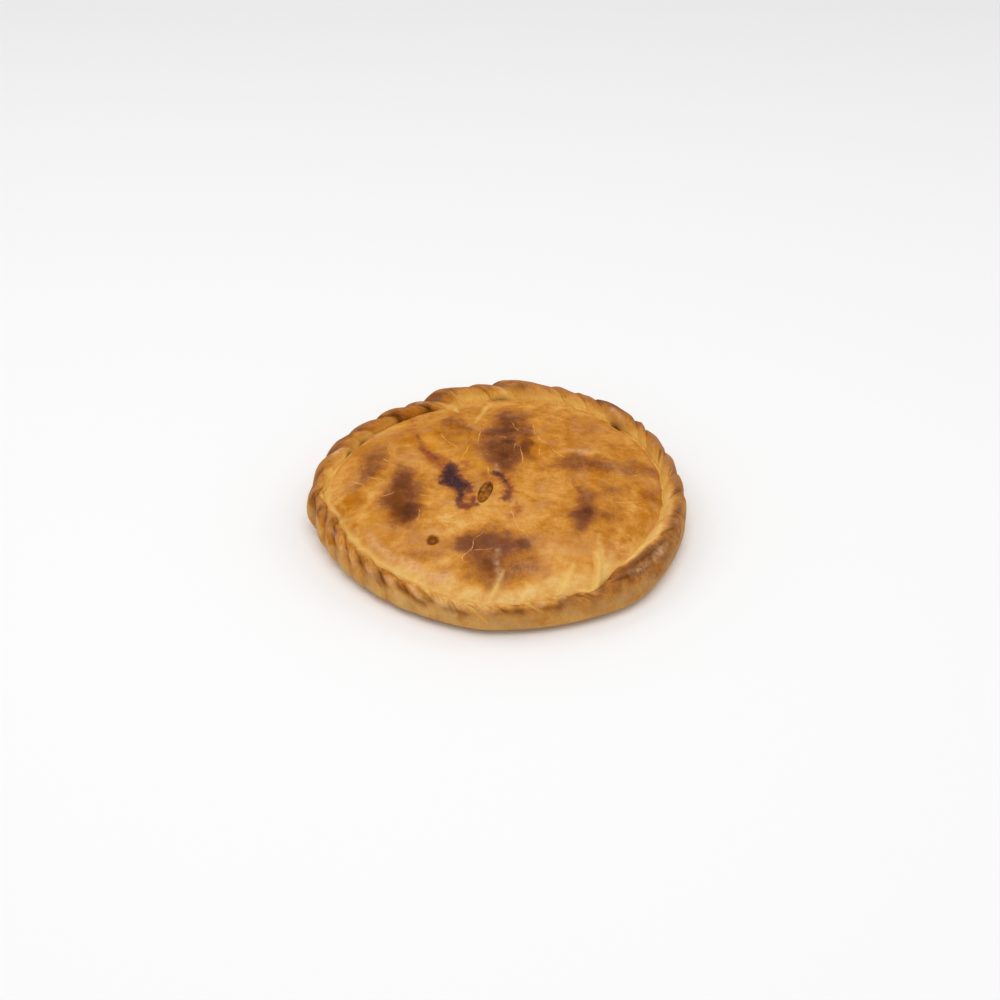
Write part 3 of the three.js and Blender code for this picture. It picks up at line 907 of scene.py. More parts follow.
def folds_at(share_of_turn):
    """For each column of dough: its heading, its share of a fold and that fold's size."""
    count = len(FOLDS)
    place = share_of_turn * (count + TAIL_FOLDS)
    knots = np.append(np.arange(count + 1.0), count + TAIL_FOLDS)
    starts = [fold[0] for fold in FOLDS]
    angle = np.interp(place, knots, starts + [TAIL["start"], TAIL["end"]])
    fold = np.minimum(np.floor(place + FOLD_NUDGE), count).astype(int)
    in_tail = fold >= count
    share = np.clip(place - fold, 0.0, None) / np.where(in_tail, TAIL_FOLDS, 1.0)
    share = np.clip(share, 0.0, 1.0)
    tops = np.array([fold_row[1] for fold_row in FOLDS] + [0.0])[fold]
    uneven = 1.0 + FOLD_SIZE_SPREAD * (chance(fold, SIZE_SALT) - 0.5)
    return {
        "angle": angle,
        "share": share,
        "tail": in_tail,
        "size": np.where(in_tail, 1.0, uneven),
        "top": np.where(in_tail, mix(TAIL["tip_top"], TAIL["end_top"], share), tops),
        "tint": np.where(in_tail, 0.5, chance(fold, TINT_SALT)),
    }


def slanted(folds, share_in):
    """Heading of a fold after running on round the pie, by its share of the way in."""
    slant = tilted(FOLD_SLANT, folds["angle"])
    return folds["angle"] + slant * (FOLD_SLANT_AHEAD - smoothstep(share_in, *FOLD_SLANT_SPAN))


def fold_swell(folds):
    """Swell of each fold from 0 in its creases to 1 where it stands highest."""
    lean = math.log(0.5) / np.log(eased(FOLD_PEAKS, folds["angle"]))
    return np.sin(np.pi * folds["share"] ** lean) ** FOLD_ROUNDNESS


def strands_at(folds):
    """Fine ridges that run the length of each fold, -1 to 1."""
    ridges = np.sin(2.0 * np.pi * (STRANDS * folds["share"] + folds["tint"]))
    return np.where(folds["tail"], 0.0, ridges)


def crease_at(folds):
    """1 along the sharp line between two folds, 0 away from it."""
    width = np.where(folds["tail"], CREASE_WIDTH / TAIL_FOLDS, CREASE_WIDTH)
    return bell(np.minimum(folds["share"], 1.0 - folds["share"]), width)


def lumps(points, size):
    """Soft unevenness from -1 to 1 over the dough, with lumps about this big."""
    scaled = points / size
    return np.array([noise.noise(point) for point in scaled.tolist()])


def in_turned_oval(x, y, oval):
    """Squared distance from an oval's centre, 1 on its edge."""
    centre_x, centre_y, half_length, half_width, heading, _ = oval
    turn = math.radians(heading)
    from_x = x - centre_x
    from_y = y - centre_y
    along = from_x * math.cos(turn) + from_y * math.sin(turn)
    across = from_y * math.cos(turn) - from_x * math.sin(turn)
    return (along / half_length) ** 2 + (across / half_width) ** 2


def lid_share(x, y):
    """How far out on the lid a place is, 0 in the middle and 1 at the seam, and its heading."""
    angle = np.degrees(np.arctan2(y, x))
    return np.hypot(x, y) / seam_radius(angle), angle


def lid_height(x, y):
    share, angle = lid_share(x, y)
    dome = 1.0 - np.minimum(share, 1.0) ** LID_SHOULDER
    height = mix(tilted(LID_EDGE, angle), LID_CROWN, dome)
    for bump in BUMPS:
        height += bump[-1] * np.exp(-in_turned_oval(x, y, bump))
    from_vent = np.hypot(x - VENT["at"][0], y - VENT["at"][1])
    height += VENT_LIP["rise"] * bell(from_vent, VENT_LIP["reach"])
    from_pit = np.hypot(x - PIT["at"][0], y - PIT["at"][1])
    height -= PIT["depth"] * np.exp(-((from_pit / PIT["radius"]) ** PIT["firmness"]))
    flat = np.stack([x, y, np.zeros_like(x)], axis=1)
    return height + LID_LUMP * lumps(flat, LID_LUMP_SIZE) * (1.0 - share ** LID_LUMP_FADE)


def polar(radius, angle, height):
    turn = np.radians(angle)
    return np.stack([radius * np.cos(turn), radius * np.sin(turn), height], axis=1)


def vent_place(folds, share):
    """The vent's wall: share 0 at its bottom, 1 at its lip."""
    turn = np.radians(folds["angle"] - VENT["turn"])
    tilt = math.radians(VENT["turn"])
    along = VENT["half_length"] * np.cos(turn)
    across = VENT["half_width"] * np.sin(turn)
    spread = VENT["floor"] + VENT["flare"] * share
    x = VENT["at"][0] + spread * (along * math.cos(tilt) - across * math.sin(tilt))
    y = VENT["at"][1] + spread * (along * math.sin(tilt) + across * math.cos(tilt))
    height = lid_height(x, y) - VENT["depth"] * (1.0 - share) ** VENT["wall_curve"]
    return np.stack([x, y, height], axis=1)


def pleats_at(x, y):
    """Dip of the lid in its pleats, and how pale their drawn dough is."""
    out, angle = lid_share(x, y)
    dip = np.zeros_like(x)
    pale = np.zeros_like(x)
    for rim, inner, fades, depth, half in PLEATS:
        inward = np.clip((1.0 - out) / (1.0 - fades), 0.0, 1.0)
        turn = turned_from(angle, mix(rim, inner, inward))
        off = np.radians(turn) * np.hypot(x, y) / half
        fade = 1.0 - smoothstep(inward, PLEAT_FULL_SHARE, 1.0)
        ridge = PLEAT_RIDGE["by"] * bell(off - PLEAT_RIDGE["off"], PLEAT_RIDGE["reach"])
        dip += depth * fade * (bell(off, 1.0) - ridge)
        drawn = fade * bell(off - PLEAT_PALE["off"], PLEAT_PALE["reach"])
        pale = np.maximum(pale, drawn * depth / PLEAT_PALE["full_depth"])
    return dip, pale


def lid_place(folds, share):
    """A place on the lid: share 0 at the vent's lip, 1 at the seam."""
    lip = vent_place(folds, np.ones_like(folds["angle"]))
    rim = rope_place(folds, np.full_like(folds["angle"], 180.0))
    point = mix(lip, rim, share[:, None])
    x, y = point[:, 0], point[:, 1]
    out, angle = lid_share(x, y)
    height = lid_height(x, y) - pleats_at(x, y)[0]
    height -= tilted(SEAM_DIP, angle) * smoothstep(out, 1.0 - SEAM_DIP_REACH, 1.0)
    return np.stack([x, y, height], axis=1)


def rope_place(folds, turn):
    """A place on the rope: turn 0 at its belly, 90 on its crest, 180 at the seam."""
    angle = slanted(folds, turn / 180.0)
    swell = fold_swell(folds)
    half = eased(ROPE_WIDTHS, angle) / 2.0
    foot = np.where(turn < 90.0, eased(ROPE_BELLY, angle), tilted(ROPE_SEAM, angle))
    full_above = eased(FOLD_FULL_ABOVE, angle)
    grown = smoothstep(turn, full_above - FOLD_GROWS_OVER, full_above)
    fade = mix(eased(FOLD_AT_BELLY, angle), 1.0, grown)
    fade *= mix(1.0, FOLD_AT_SEAM, smoothstep(turn, *FOLD_SEAM_TURNS))
    deep = np.minimum(1.0, half / FOLD_DEEP_HALF)
    dip = eased(FOLD_DEPTH, angle) * folds["size"] * (1.0 - swell)
    dip += CREASE_DEPTH * crease_at(folds) * smoothstep(turn, *CREASE_TURNS)
    dip -= STRAND_DEPTH * swell * strands_at(folds)
    dip *= fade * deep
    radius = outline_radius(angle) - half + (half - dip) * np.cos(np.radians(turn))
    lobe = bell(turn - LOBE_TURN, LOBE_TURN_REACH) * hump(angle, LOBE_HEADING, LOBE_REACH)
    radius += LOBE_BULGE * lobe * np.where(folds["tail"], 0.0, swell)
    lean = np.where(folds["tail"], np.sin(np.pi * folds["share"]), 0.0)
    radius -= TAIL_LEAN * lean * np.sin(np.radians(turn)) ** 2
    height = foot + (folds["top"] - foot - dip) * np.sin(np.radians(turn))
    for heading, reach, depth in SEAM_GAPS:
        height -= depth * (hump(angle, heading, reach) * smoothstep(turn, *GAP_DEEP_TURNS))
    point = polar(radius, angle, height)
    point[:, 2] += ROPE_LUMP * lumps(point, ROPE_LUMP_SIZE) * np.sin(np.radians(turn))
    return point


def wall_place(folds, share):
    """A place on the side below the rope: share 1 at the belly, 0 on the base."""
    angle = slanted(folds, 0.0)
    dip = eased(FOLD_DEPTH, angle) * folds["size"] * (1.0 - fold_swell(folds))
    dip *= eased(FOLD_AT_BELLY, angle) * share
    inset = tilted(BASE_INSET, angle) * (1.0 - share) ** WALL_ROUNDING
    return polar(outline_radius(angle) - inset - dip, angle, share * eased(ROPE_BELLY, angle))


def base_place(folds, share):
    """A place on the flat base: share 1 at its edge, 0 in the middle."""
    angle = slanted(folds, 0.0)
    edge = outline_radius(angle) - tilted(BASE_INSET, angle)
    return polar(share * edge, angle, np.zeros_like(angle))


PLACES = {
    "vent": vent_place,
    "lid": lid_place,
    "rope": rope_place,
    "wall": wall_place,
    "base": base_place,
}


def dough_bands():
    """Every band of the dough from the vent's bottom to the middle of the base."""
    bands = []
    for part, columns, rows, start, end in DOUGH_BANDS:
        bands.append({"part": part, "columns": columns, "rows": np.linspace(start, end, rows)})
    return bands


def roll_band(sheet, band):
    """Roll one band flat: a ring of dough drawn outward row by row."""
    columns = COLUMNS // band["columns"]
    first = band["first"]
    ring = bmesh.ops.create_circle(sheet, cap_ends=False, segments=columns, radius=first)["verts"]
    inner = list({edge for vert in ring for edge in vert.link_edges})
    outer = inner
    for row in range(first, first + len(band["rows"]) - 1):
        drawn = bmesh.ops.extrude_edge_only(sheet, edges=outer)["geom"]
        ring = {part for part in drawn if isinstance(part, bmesh.types.BMVert)}
        edges = [part for part in drawn if isinstance(part, bmesh.types.BMEdge)]
        outer = [edge for edge in edges if ring.issuperset(edge.verts)]
        growth = (row + 1.0) / row
        bmesh.ops.scale(sheet, vec=(growth, growth, 1.0), verts=list(ring))
    return inner, outer


def roll_dough(bands):
    """Roll the dough flat: one row to each unit of radius, band after band."""
    sheet = bmesh.new()
    row = 1
    rings = []
    for band in bands:
        band["first"] = row
        rings.append(roll_band(sheet, band))
        row += len(band["rows"])
    for (_, outer), (inner, _) in zip(rings, rings[1:]):
        bmesh.ops.bridge_loops(sheet, edges=outer + inner)
    bmesh.ops.holes_fill(sheet, edges=rings[0][0] + rings[-1][1], sides=0)
    return sheet


def shape_dough(sheet, bands):
    """Fold the flat sheet into the pie and keep what the glaze needs to know."""
    flat = np.array([vert.co[:] for vert in sheet.verts])
    row = np.rint(np.hypot(flat[:, 0], flat[:, 1])).astype(int)
    turn = np.arctan2(flat[:, 0], -flat[:, 1]) / (2.0 * math.pi) + 0.5
    folds = folds_at((turn + TURN_NUDGE) % 1.0)
    points = np.zeros_like(flat)
    across = np.zeros(len(flat))
    zone = np.zeros(len(flat), dtype=int)
    for number, band in enumerate(bands):
        rows = band["rows"]
        inside = (row >= band["first"]) & (row < band["first"] + len(rows))
        across[inside] = rows[row[inside] - band["first"]]
        zone[inside] = number
        chosen = {name: values[inside] for name, values in folds.items()}
        points[inside] = PLACES[band["part"]](chosen, across[inside])
    parts = np.array([band["part"] for band in bands])[zone]
    return points, folds, across, parts


def to_frame(points):
    """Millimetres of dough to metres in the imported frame, where the vent fixes the place."""
    low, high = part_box("filling")
    shift_x = (low[0] + high[0]) / 2.0 - FILLING_AT[0] * MM
    shift_y = (low[1] + high[1]) / 2.0 - FILLING_AT[1] * MM
    return points * MM + np.array([shift_x, shift_y, 0.0])


def path_distance(x, y, path):
    """Distance to a path of places, the side of it, and how far along it lies."""
    best = np.full_like(x, FAR)
    side = np.zeros_like(x)
    along = np.zeros_like(x)
    lengths = [math.dist(start, end) for start, end in zip(path, path[1:])]
    done = 0.0
    for start, end, length in zip(path, path[1:], lengths):
        run_x, run_y = (end[0] - start[0]) / length, (end[1] - start[1]) / length
        ahead = np.clip((x - start[0]) * run_x + (y - start[1]) * run_y, 0.0, length)
        off_x = x - start[0] - ahead * run_x
        off_y = y - start[1] - ahead * run_y
        distance = np.hypot(off_x, off_y)
        nearer = distance < best
        best = np.where(nearer, distance, best)
        side = np.where(nearer, np.sign(run_x * off_y - run_y * off_x), side)
        along = np.where(nearer, (done + ahead) / sum(lengths), along)
        done += length
    return best, side, along


def inside_stroke(x, y, stroke):
    """How far inside a stroke of changing half width a place is, below 0 outside it."""
    reach = np.full_like(x, -FAR)
    for start, end in zip(stroke, stroke[1:]):
        length = math.dist(start[:2], end[:2])
        run_x, run_y = (end[0] - start[0]) / length, (end[1] - start[1]) / length
        share = np.clip(((x - start[0]) * run_x + (y - start[1]) * run_y) / length, 0.0, 1.0)
        off = np.hypot(x - mix(start[0], end[0], share), y - mix(start[1], end[1], share))
        reach = np.maximum(reach, mix(start[2], end[2], share) - off)
    return reach


def inside_strokes(x, y, strokes):
    """How far inside the nearest stroke a place is, below 0 outside them all."""
    inside = np.full_like(x, -FAR)
    for stroke in strokes:
        inside = np.maximum(inside, inside_stroke(x, y, stroke))
    return np.clip(inside, -STAIN_REACH, STAIN_REACH)


def ovals_mask(x, y, ovals):
    """Soft ovals added together by their amounts."""
    total = np.zeros_like(x)
    for oval in ovals:
        total += oval[-1] * np.exp(-in_turned_oval(x, y, oval) ** OVAL_FIRMNESS)
    return total


def cracks_at(x, y):
    """Signed distance from the nearest crack, and 1 near it, fading at its ends."""
    crack_off = np.full_like(x, FAR)
    crack_near = np.zeros_like(x)
    for path in CRACKS:
        distance, side, along = path_distance(x, y, path)
        nearer = distance < np.abs(crack_off)
        crack_off = np.where(nearer, distance * side, crack_off)
        ends = smoothstep(along, 0.0, CRACK_ENDS) * smoothstep(1.0 - along, 0.0, CRACK_ENDS)
        halo = (1.0 - smoothstep(distance, CRACK_HALO * 0.5, CRACK_HALO)) * ends
        crack_near = np.where(nearer, halo, crack_near)
    return np.clip(crack_off, -CRACK_REACH, CRACK_REACH), crack_near


def rope_strokes(angle, across, name):
    """Strokes drawn on the rope as amounts, easing over their soft edges."""
    strokes, soft, strength = ROPE_STROKES[name]
    inside = np.full_like(angle, -FAR)
    for stroke in strokes:
        middle = stroke[0][0]
        near = turned_from(angle, middle)
        drawn = [(heading - middle, turn / TURNS_PER_DEGREE, half) for heading, turn, half in stroke]
        inside = np.maximum(inside, inside_stroke(near, across / TURNS_PER_DEGREE, drawn))
    return strength * smoothstep(inside, -soft, soft)


def valley_shade(folds, angle, share):
    """How much darker the dough is painted between folds than on their tops, by its share here: painted
    shade of the folds.
    """
    valley = VALLEY_SHADE * (VALLEY_LEVEL - fold_swell(folds)) * share
    valley *= smoothstep(eased(FOLD_AT_BELLY, angle), *VALLEY_FOLDS)
    return np.where(folds["tail"], 0.0, valley)


def crest_share(across, angle):
    """1 along the browned crest of the rope, 0 away from it."""
    return bell(across - eased(CREST_TURN, angle), CREST_REACH)


def rope_browning(folds, across, angle):
    """How brown the rope is: tan outside, brown over the crest, golden toward the lid, with painted
    shade between the folds low on it.
    """
    past = smoothstep(across - eased(CREST_TURN, angle), *CREST_SIDES)
    flank = mix(eased(ROPE_OUTSIDE, angle), eased(ROPE_INSIDE, angle), past)
    crest = crest_share(across, angle) * mix(CREST_IN_CREASES, 1.0, fold_swell(folds))
    top = eased(ROPE_CREST, angle) + FOLD_TINT * (folds["tint"] - 0.5)
    low = 1.0 - smoothstep(across, *VALLEY_GONE_TURNS)
    return mix(flank, top, crest) + valley_shade(folds, angle, low)


def wall_browning(folds, share, angle):
    """How brown the side is, from the base up to the rope, with painted shade between the folds."""
    risen = smoothstep(share, *WALL_BAKE_SHARES)
    return valley_shade(folds, angle, share) + mix(WALL_FOOT_BAKE, eased(ROPE_OUTSIDE, angle), risen)


def strayed(x, y):
    """How far marks stray along x and y, so that no edge of theirs is smooth."""
    flat = np.stack([x, y, np.zeros_like(x)], axis=1)
    strays = [np.zeros_like(x), np.zeros_like(x)]
    shift = 0.0
    for stray in strays:
        for by, size in STRAYS:
            stray += by * lumps(flat + shift, size)
            shift += STRAY_APART
    return strays


def lid_marks(x, y):
    """What the oven and the glaze left on the lid, with its painted highlights and shadows."""
    out, angle = lid_share(x, y)
    stray_x, stray_y = strayed(x, y)
    marks = {"side": np.zeros_like(x)}
    for name, ovals in LID_OVALS.items():
        marks[name] = ovals_mask(x + stray_x, y + stray_y, ovals)
    for name, (strokes, share) in LID_STROKES.items():
        marks[name] = inside_strokes(x + share * stray_x, y + share * stray_y, strokes)
    front = smoothstep(np.cos(np.radians(angle - FRONT_HEADING)), *FRONT_FADE)
    shoulder = smoothstep(out, *SHOULDER_SHARES) * mix(SHOULDER_AT_BACK, 1.0, front)
    marks["bake"] = LID_BAKE + marks.pop("browned") - SHOULDER_PALING * shoulder
    drawn = smoothstep(marks.pop("paled"), -PALE_SOFT, PALE_SOFT)
    marks["pale"] = np.maximum(LID_PALE * drawn, pleats_at(x, y)[1])
    marks["shine"] = LID_SHINE * smoothstep(marks["shine"], *SHINE_EDGE)
    marks["pit_off"] = np.minimum(np.hypot(x - PIT["at"][0], y - PIT["at"][1]), STAIN_REACH)
    seam = smoothstep(out, *SEAM_SHARES)
    marks["creamed"] = seam * eased(SEAM_CREAM, angle)
    # Painted shade in the valley of the seam
    marks["olive"] = seam * eased(SEAM_SHADE, angle)
    return marks


def rope_marks(folds, across, angle):
    """What the oven and the glaze left on the rope, with its painted shade and highlights."""
    flank = eased(FLANK_PALED, angle) * smoothstep(across, *FLANK_TURNS)
    seam = smoothstep(across, *SEAM_TURNS)
    calm = STRAND_CALM["by"] * hump(angle, STRAND_CALM["heading"], STRAND_CALM["reach"])
    flaked = bell(across - FLAKED["turn"], FLAKED["turn_reach"])
    # Painted shade in the creases, in the dark strokes and in the gaps of the seam
    groove = crease_at(folds) * bell(across - eased(CREASE_TURN, angle), CREASE_REACH)
    groove *= eased(CREASE_SHADE_AMOUNT, angle)
    groove = np.maximum(groove, rope_strokes(angle, across, "painted_shade"))
    for heading, reach, _ in SEAM_GAPS:
        gap = hump(angle, heading, reach) * smoothstep(across, *GAP_SHADE_TURNS)
        groove = np.maximum(groove, gap)
    cream = flank * smoothstep(across, *CREAM_TURNS)
    return {
        "bake": rope_browning(folds, across, angle),
        "pooled": rope_strokes(angle, across, "gilded"),
        # Pale dough, with painted highlights along the fold lips
        "pale": rope_strokes(angle, across, "paled"),
        # Browning, with painted shade under the tongues and the tail
        "toast": rope_strokes(angle, across, "browned"),
        "shine": rope_strokes(angle, across, "shining"),
        "groove": groove,
        "flank": flank,
        "creamed": np.maximum(cream, seam * eased(SEAM_CREAM, angle)),
        # Painted shade in the valley of the seam
        "olive": seam * eased(SEAM_SHADE, angle),
        "rose": crest_share(across, angle) * eased(CREST_ROSE, angle),
        "strand": smoothstep(across, *STRAND_TURNS) * (1.0 - calm),
        "rough": hump(angle, FLAKED["heading"], FLAKED["reach"]) * flaked,
        "side": mix(1.0, SIDE_AT_CREST, smoothstep(across, *SIDE_TURNS)),
    }


def glaze_marks(points, folds, across, parts):
    """Every mark of the oven and the glaze at each place of the crust, with the painted shade and
    highlights.
    """
    x, y = points[:, 0], points[:, 1]
    vent, rope, wall = (parts == part for part in ("vent", "rope", "wall"))
    lid = (parts == "lid") | vent
    angle = lid_share(x, y)[1]
    on_lid = lid_marks(x, y)
    on_rope = rope_marks(folds, across, angle)
    marks = {}
    for name in sorted({*on_lid, *on_rope}):
        none = UNMARKED.get(name, 0.0)
        elsewhere = np.where(rope, on_rope.get(name, none), none)
        marks[name] = np.where(lid, on_lid.get(name, none), elsewhere)
    marks["bake"] = np.where(wall, wall_browning(folds, across, angle), marks["bake"])
    # Painted shade, darker down the vent's wall toward its bottom
    vent_shade = 1.0 - smoothstep(across, *VENT_SHADE_SHARES)
    marks["groove"] = np.where(vent, vent_shade, marks["groove"])
    marks["crack_off"], crack_near = cracks_at(x, y)
    marks["crack_near"] = np.where(lid & ~vent, crack_near, 0.0)
    lid_fibres = np.stack([FIBRES_ON_LID * x, FIBRES_ON_LID * y, np.zeros_like(x)], axis=1)
    round_rope, over_rope = FIBRES_ROUND * folds["angle"], FIBRES_OVER * across
    rope_fibres = np.stack([round_rope, over_rope, np.full_like(x, FIBRES_APART)], axis=1)
    marks["fibres"] = np.where((rope | wall)[:, None], rope_fibres, lid_fibres)
    return marks


def new_piece(name, sheet, material):
    mesh = bpy.data.meshes.new(name)
    sheet.to_mesh(mesh)
    sheet.free()
    mesh.polygons.foreach_set("use_smooth", [True] * len(mesh.polygons))
    mesh.materials.append(material)
    piece = bpy.data.objects.new(name, mesh)
    bpy.context.scene.collection.objects.link(piece)
    return piece


class Glaze:
    """A short way to write a material's nodes."""

    def __init__(self, name):
        self.material = bpy.data.materials.new(name)
        self.material.use_nodes = True
        self.tree = self.material.node_tree
        self.sockets = self.tree.nodes["Principled BSDF"].inputs
        self.place = self.node("ShaderNodeTexCoord").outputs["Object"]

    def node(self, kind, **settings):
        made = self.tree.nodes.new(kind)
        for name, value in settings.items():
            setattr(made, name, value)
        return made

    def feed(self, socket, value):
        if isinstance(value, bpy.types.NodeSocket):
            self.tree.links.new(value, socket)
        else:
            socket.default_value = value

    def mark(self, name, output="Fac"):
        return self.node("ShaderNodeAttribute", attribute_name=name).outputs[output]

    def grain(self, name, place=None, swirl=0.0):
        scale, detail, roughness = GRAINS[name]
        made = self.node("ShaderNodeTexNoise")
        self.feed(made.inputs["Vector"], place or self.place)
        made.inputs["Scale"].default_value = scale
        made.inputs["Detail"].default_value = detail
        made.inputs["Roughness"].default_value = roughness
        made.inputs["Distortion"].default_value = swirl
        return made.outputs["Fac"]

    def sum(self, first, second, operation="ADD", clamp=False):
        made = self.node("ShaderNodeMath", operation=operation, use_clamp=clamp)
        self.feed(made.inputs[0], first)
        self.feed(made.inputs[1], second)
        return made.outputs[0]

    def times(self, first, second, clamp=False):
        return self.sum(first, second, "MULTIPLY", clamp)

    def spread(self, value, name):
        made = self.node("ShaderNodeMapRange")
        made.interpolation_type = "LINEAR" if name in STRAIGHT else "SMOOTHSTEP"
        self.feed(made.inputs["Value"], value)
        for end, amount in zip(("From Min", "From Max", "To Min", "To Max"), SPREADS[name]):
            made.inputs[end].default_value = amount
        return made.outputs["Result"]

    def texture(self, name):
        """A grain, read by the spread of the same name."""
        return self.spread(self.grain(name), name)

    def blend(self, share, under, over):
        made = self.node("ShaderNodeMix", data_type="RGBA")
        self.feed(made.inputs["Factor"], share)
        self.feed(made.inputs[COLOUR_UNDER], under)
        self.feed(made.inputs[COLOUR_OVER], over)
        return made.outputs[COLOUR_MIXED]

    def ramp(self, share, stops):
        made = self.node("ShaderNodeValToRGB")
        bar = made.color_ramp
        while len(bar.elements) < len(stops):
            bar.elements.new(0.5)
        for element, (place, colour) in zip(bar.elements, stops):
            element.position = place
            element.color = colour
        self.feed(made.inputs["Fac"], share)
        return made.outputs["Color"]

    def bump(self, height, name, under=None):
        strength, distance = RELIEF[name]
        made = self.node("ShaderNodeBump")
        made.inputs["Strength"].default_value = strength
        made.inputs["Distance"].default_value = distance
        self.feed(made.inputs["Height"], height)
        if under is not None:
            self.feed(made.inputs["Normal"], under)
        return made.outputs["Normal"]


def baked_crust():
    glaze = Glaze("baked_crust")
    strings = glaze.grain("strings", glaze.mark("fibres", "Vector"))
    fibre = glaze.times(glaze.spread(strings, "fibre"), glaze.spread(glaze.mark("strand"), "strand"))
    grainy = glaze.sum(glaze.sum(glaze.texture("speckle"), glaze.texture("wisp")), fibre)
    char = glaze.times(glaze.mark("rough"), glaze.texture("flake"))
    browning = glaze.sum(glaze.sum(glaze.mark("bake"), glaze.texture("mottle")), grainy)
    browning = glaze.sum(browning, char)
    blotch = glaze.texture("blotch")
    deep = glaze.spread(browning, "deep")
    pooled = glaze.times(glaze.sum(glaze.mark("pooled"), glaze.texture("drift")), blotch, clamp=True)
    pooled = glaze.times(pooled, glaze.spread(browning, "settled"))
    haze = glaze.sum(glaze.texture("haze"), glaze.times(glaze.mark("milky"), blotch))
    streak = glaze.times(glaze.spread(strings, "streak"), glaze.mark("creamed"))
    pale = glaze.times(glaze.mark("pale"), blotch, clamp=True)
    ragged = glaze.sum(glaze.texture("edge"), glaze.texture("fleck"))
    redden, plum, burnt = (
        glaze.spread(glaze.sum(glaze.mark(name), ragged), name) for name in ("redden", "plum", "burnt")
    )
    off = glaze.sum(glaze.sum(glaze.mark("crack_off"), glaze.texture("waver")), 0.0, "ABSOLUTE")
    line = glaze.times(glaze.spread(off, "crack"), glaze.mark("crack_near"))
    pit_off = glaze.sum(glaze.mark("pit_off"), glaze.times(ragged, PIT_RAGGED))
    slit = glaze.sum(glaze.mark("slit"), glaze.times(ragged, SLIT_RAGGED))
    # Where the glaze shines: lower roughness and more gloss, and a painted highlight in the colour
    shine = glaze.times(glaze.times(glaze.mark("shine"), blotch, clamp=True), glaze.texture("glint"))
    layers = (
        (glaze.times(glaze.mark("side"), glaze.texture("floury")), SIDE_DOUGH),
        (pooled, glaze.blend(deep, POOLED_GLAZE, DEEP_GLAZE)),
        (glaze.times(glaze.mark("glow"), blotch, clamp=True), BRIGHT_GLAZE),
        (haze, glaze.blend(deep, HAZY_GLAZE, HAZY_BROWN)),
        (glaze.times(glaze.mark("flank"), blotch), FLANK_GOLD),
        (glaze.times(glaze.mark("rose"), blotch), ROSY_CREST),
        # Painted greenish shade in the seam
        (glaze.times(glaze.mark("olive"), blotch), OLIVE_SEAM_SHADE),
        (glaze.times(streak, CREAM_SHARE), CREAM_DOUGH),
        # Toasted brown, with painted shade under the tongues
        (glaze.times(glaze.mark("toast"), glaze.spread(blotch, "toast")), TOASTED_AND_SHADED_FOLD),
        # Pale dough, and on the rope painted highlights along the fold lips
        (glaze.times(pale, PALE_SHARE), PALE_DOUGH_AND_HIGHLIGHT),
        (glaze.times(redden, glaze.texture("dabs")), RED_JUICE),
        (plum, PLUM_JUICE),
        (burnt, BURNT_JUICE),
        (glaze.times(glaze.texture("ash"), burnt), ASHEN_JUICE),
        (glaze.times(line, glaze.texture("broken")), CRACK_PALE),
        (glaze.spread(pit_off, "pit_halo"), PIT_ORANGE),
        (glaze.times(glaze.spread(pit_off, "pit_bowl"), glaze.spread(pit_off, "pit_rim")), PIT_BROWN),
        # Painted shade in the creases, the seam gaps and the vent
        (glaze.times(glaze.mark("groove"), PAINTED_SHADE_SHARE), PAINTED_SHADE_DARK),
        # Painted shadow in the open slits
        (glaze.spread(slit, "slit"), SLIT_SHADOW_DARK),
        # Painted highlight
        (glaze.times(shine, PAINTED_HIGHLIGHT_SHARE), PAINTED_HIGHLIGHT_PINK),
    )
    colour = glaze.ramp(browning, BAKING)
    for share, over in layers:
        colour = glaze.blend(share, colour, over)
    glaze.feed(glaze.sockets["Base Color"], colour)
    glaze.feed(glaze.sockets["Roughness"], glaze.spread(shine, "roughness"))
    glaze.feed(glaze.sockets["Specular IOR Level"], glaze.spread(shine, "gloss"))
    relief = glaze.bump(glaze.grain("skin"), "skin")
    relief = glaze.bump(glaze.grain("soft"), "soft", relief)
    relief = glaze.bump(char, "flakes", relief)
    relief = glaze.bump(line, "cracks", relief)
    glaze.feed(glaze.sockets["Normal"], relief)
    return glaze.material


def moist_filling():
    glaze = Glaze("moist_filling")
    strands = glaze.grain("filling", swirl=FILLING_SWIRL)
    glaze.feed(glaze.sockets["Base Color"], glaze.ramp(strands, FILLING_COLOURS))
    glaze.sockets["Roughness"].default_value = FILLING_ROUGHNESS
    glaze.sockets["Specular IOR Level"].default_value = FILLING_GLOSS
    glaze.feed(glaze.sockets["Normal"], glaze.bump(strands, "filling"))
    return glaze.material


def set_places(sheet, points):
    for vert, place in zip(sheet.verts, to_frame(points).tolist()):
        vert.co = place


def make_crust():
    bands = dough_bands()
    sheet = roll_dough(bands)
    points, folds, across, parts = shape_dough(sheet, bands)
    marks = glaze_marks(points, folds, across, parts)
    set_places(sheet, points)
    bmesh.ops.recalc_face_normals(sheet, faces=sheet.faces)
    crust = new_piece("baked_crust", sheet, baked_crust())
    for name, values in marks.items():
        many = values.ndim > 1
        layer = crust.data.attributes.new(name, "FLOAT_VECTOR" if many else "FLOAT", "POINT")
        layer.data.foreach_set("vector" if many else "value", values.astype(np.float32).ravel())
    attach(crust, "root")
    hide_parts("crust")


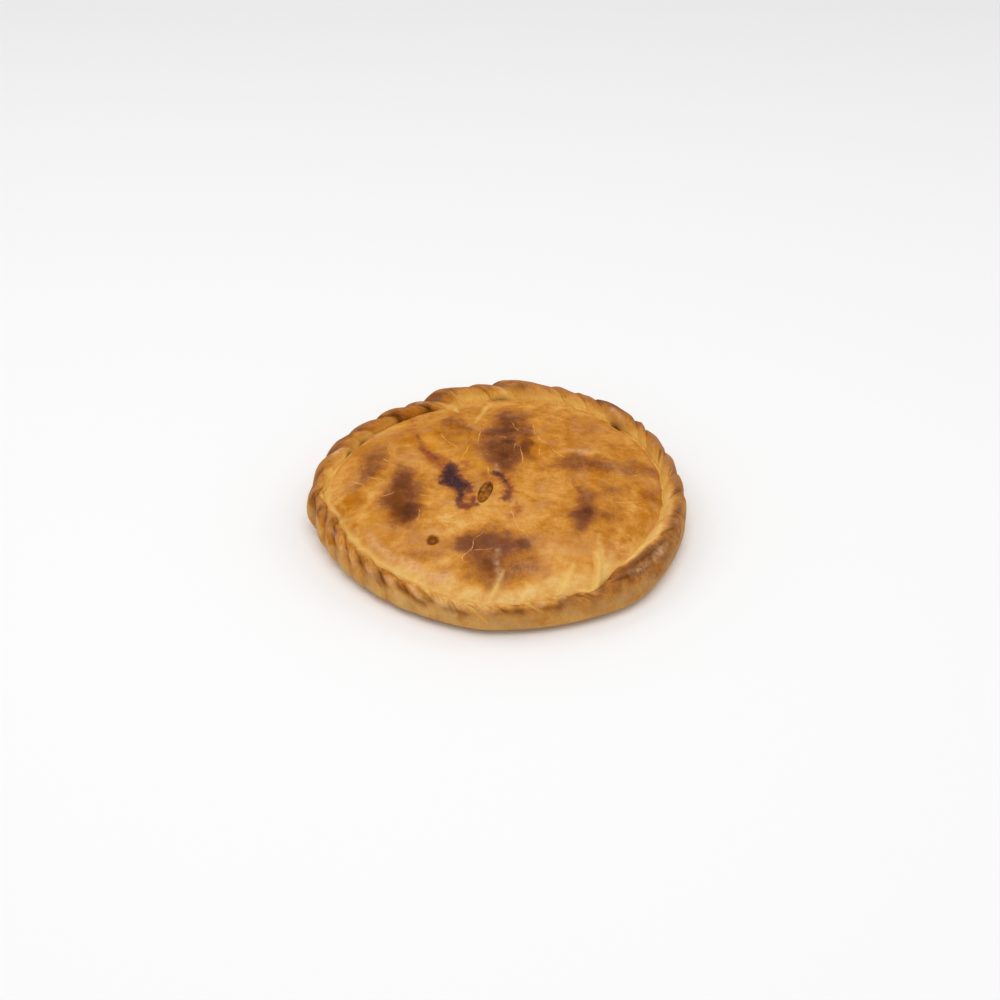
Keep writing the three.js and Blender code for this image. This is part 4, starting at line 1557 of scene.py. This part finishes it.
def make_filling():
    lump = bmesh.new()
    bmesh.ops.create_icosphere(lump, subdivisions=FILLING_ROUNDS, radius=1.0)
    points = np.array([vert.co[:] for vert in lump.verts])
    vent_size = np.array([VENT["half_length"], VENT["half_width"], VENT["depth"]])
    swell = np.ones(len(points))
    for by, size, shift in FILLING_LUMPS:
        swell += by * lumps(points + shift, size)
    points = points * swell[:, None] * (vent_size - np.array(FILLING_GAPS))
    height = points[:, 2]
    points[:, 2] = np.where(height > 0.0, height * FILLING_FLATTENED, height) - FILLING_SUNK
    from_cleft = points[:, 1] + FILLING_CLEFT["slope"] * points[:, 0]
    points[:, 2] -= FILLING_CLEFT["depth"] * bell(from_cleft, FILLING_CLEFT["reach"])
    turn = Matrix.Rotation(math.radians(VENT["turn"]), 3, "Z")
    points = points @ np.array(turn).T
    vent_x, vent_y = VENT["at"]
    lid = lid_height(np.array([vent_x]), np.array([vent_y]))[0]
    set_places(lump, points + np.array([vent_x, vent_y, lid]))
    filling = new_piece("vent_filling", lump, moist_filling())
    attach(filling, "root")
    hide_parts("filling")


def make_camera():
    place, aim = (Vector(spot) for spot in to_frame(np.array([VIEW_FROM, VIEW_AIM])).tolist())
    camera = bpy.data.objects.new("camera", bpy.data.cameras.new("camera"))
    camera.location = place
    camera.rotation_euler = (place - aim).to_track_quat("Z", "Y").to_euler()
    camera.data.lens = VIEW_LENS
    camera.data.sensor_width = VIEW_SENSOR
    camera.data.clip_start, camera.data.clip_end = VIEW_CLIP
    bpy.context.scene.collection.objects.link(camera)
    bpy.context.scene.camera = camera


def make_light(name, heading, elevation, distance, size, power):
    lamp = bpy.data.lights.new(name, "AREA")
    lamp.shape = "DISK"
    lamp.size = size
    lamp.energy = power
    light = bpy.data.objects.new(name, lamp)
    turn, rise = math.radians(heading), math.radians(elevation)
    away = Vector((math.cos(turn) * math.cos(rise), math.sin(turn) * math.cos(rise), math.sin(rise)))
    light.location = away * distance
    light.rotation_euler = away.to_track_quat("Z", "Y").to_euler()
    bpy.context.scene.collection.objects.link(light)


def make_studio():
    sheet = bmesh.new()
    bmesh.ops.create_grid(sheet, x_segments=1, y_segments=1, size=TABLE_HALF)
    pale = Glaze("pale_table")
    pale.sockets["Base Color"].default_value = TABLE_COLOUR
    pale.sockets["Roughness"].default_value = TABLE_ROUGHNESS
    table = new_piece("table", sheet, pale.material)
    world = bpy.data.worlds.new("studio")
    world.use_nodes = True
    sky = world.node_tree.nodes["Background"]
    sky.inputs["Color"].default_value = SKY_COLOUR
    sky.inputs["Strength"].default_value = SKY_STRENGTH
    bpy.context.scene.world = world
    for softbox in SOFTBOXES:
        make_light(*softbox)
    bpy.context.scene.view_settings.view_transform = "Standard"


make_crust()
make_filling()
make_camera()
make_studio()
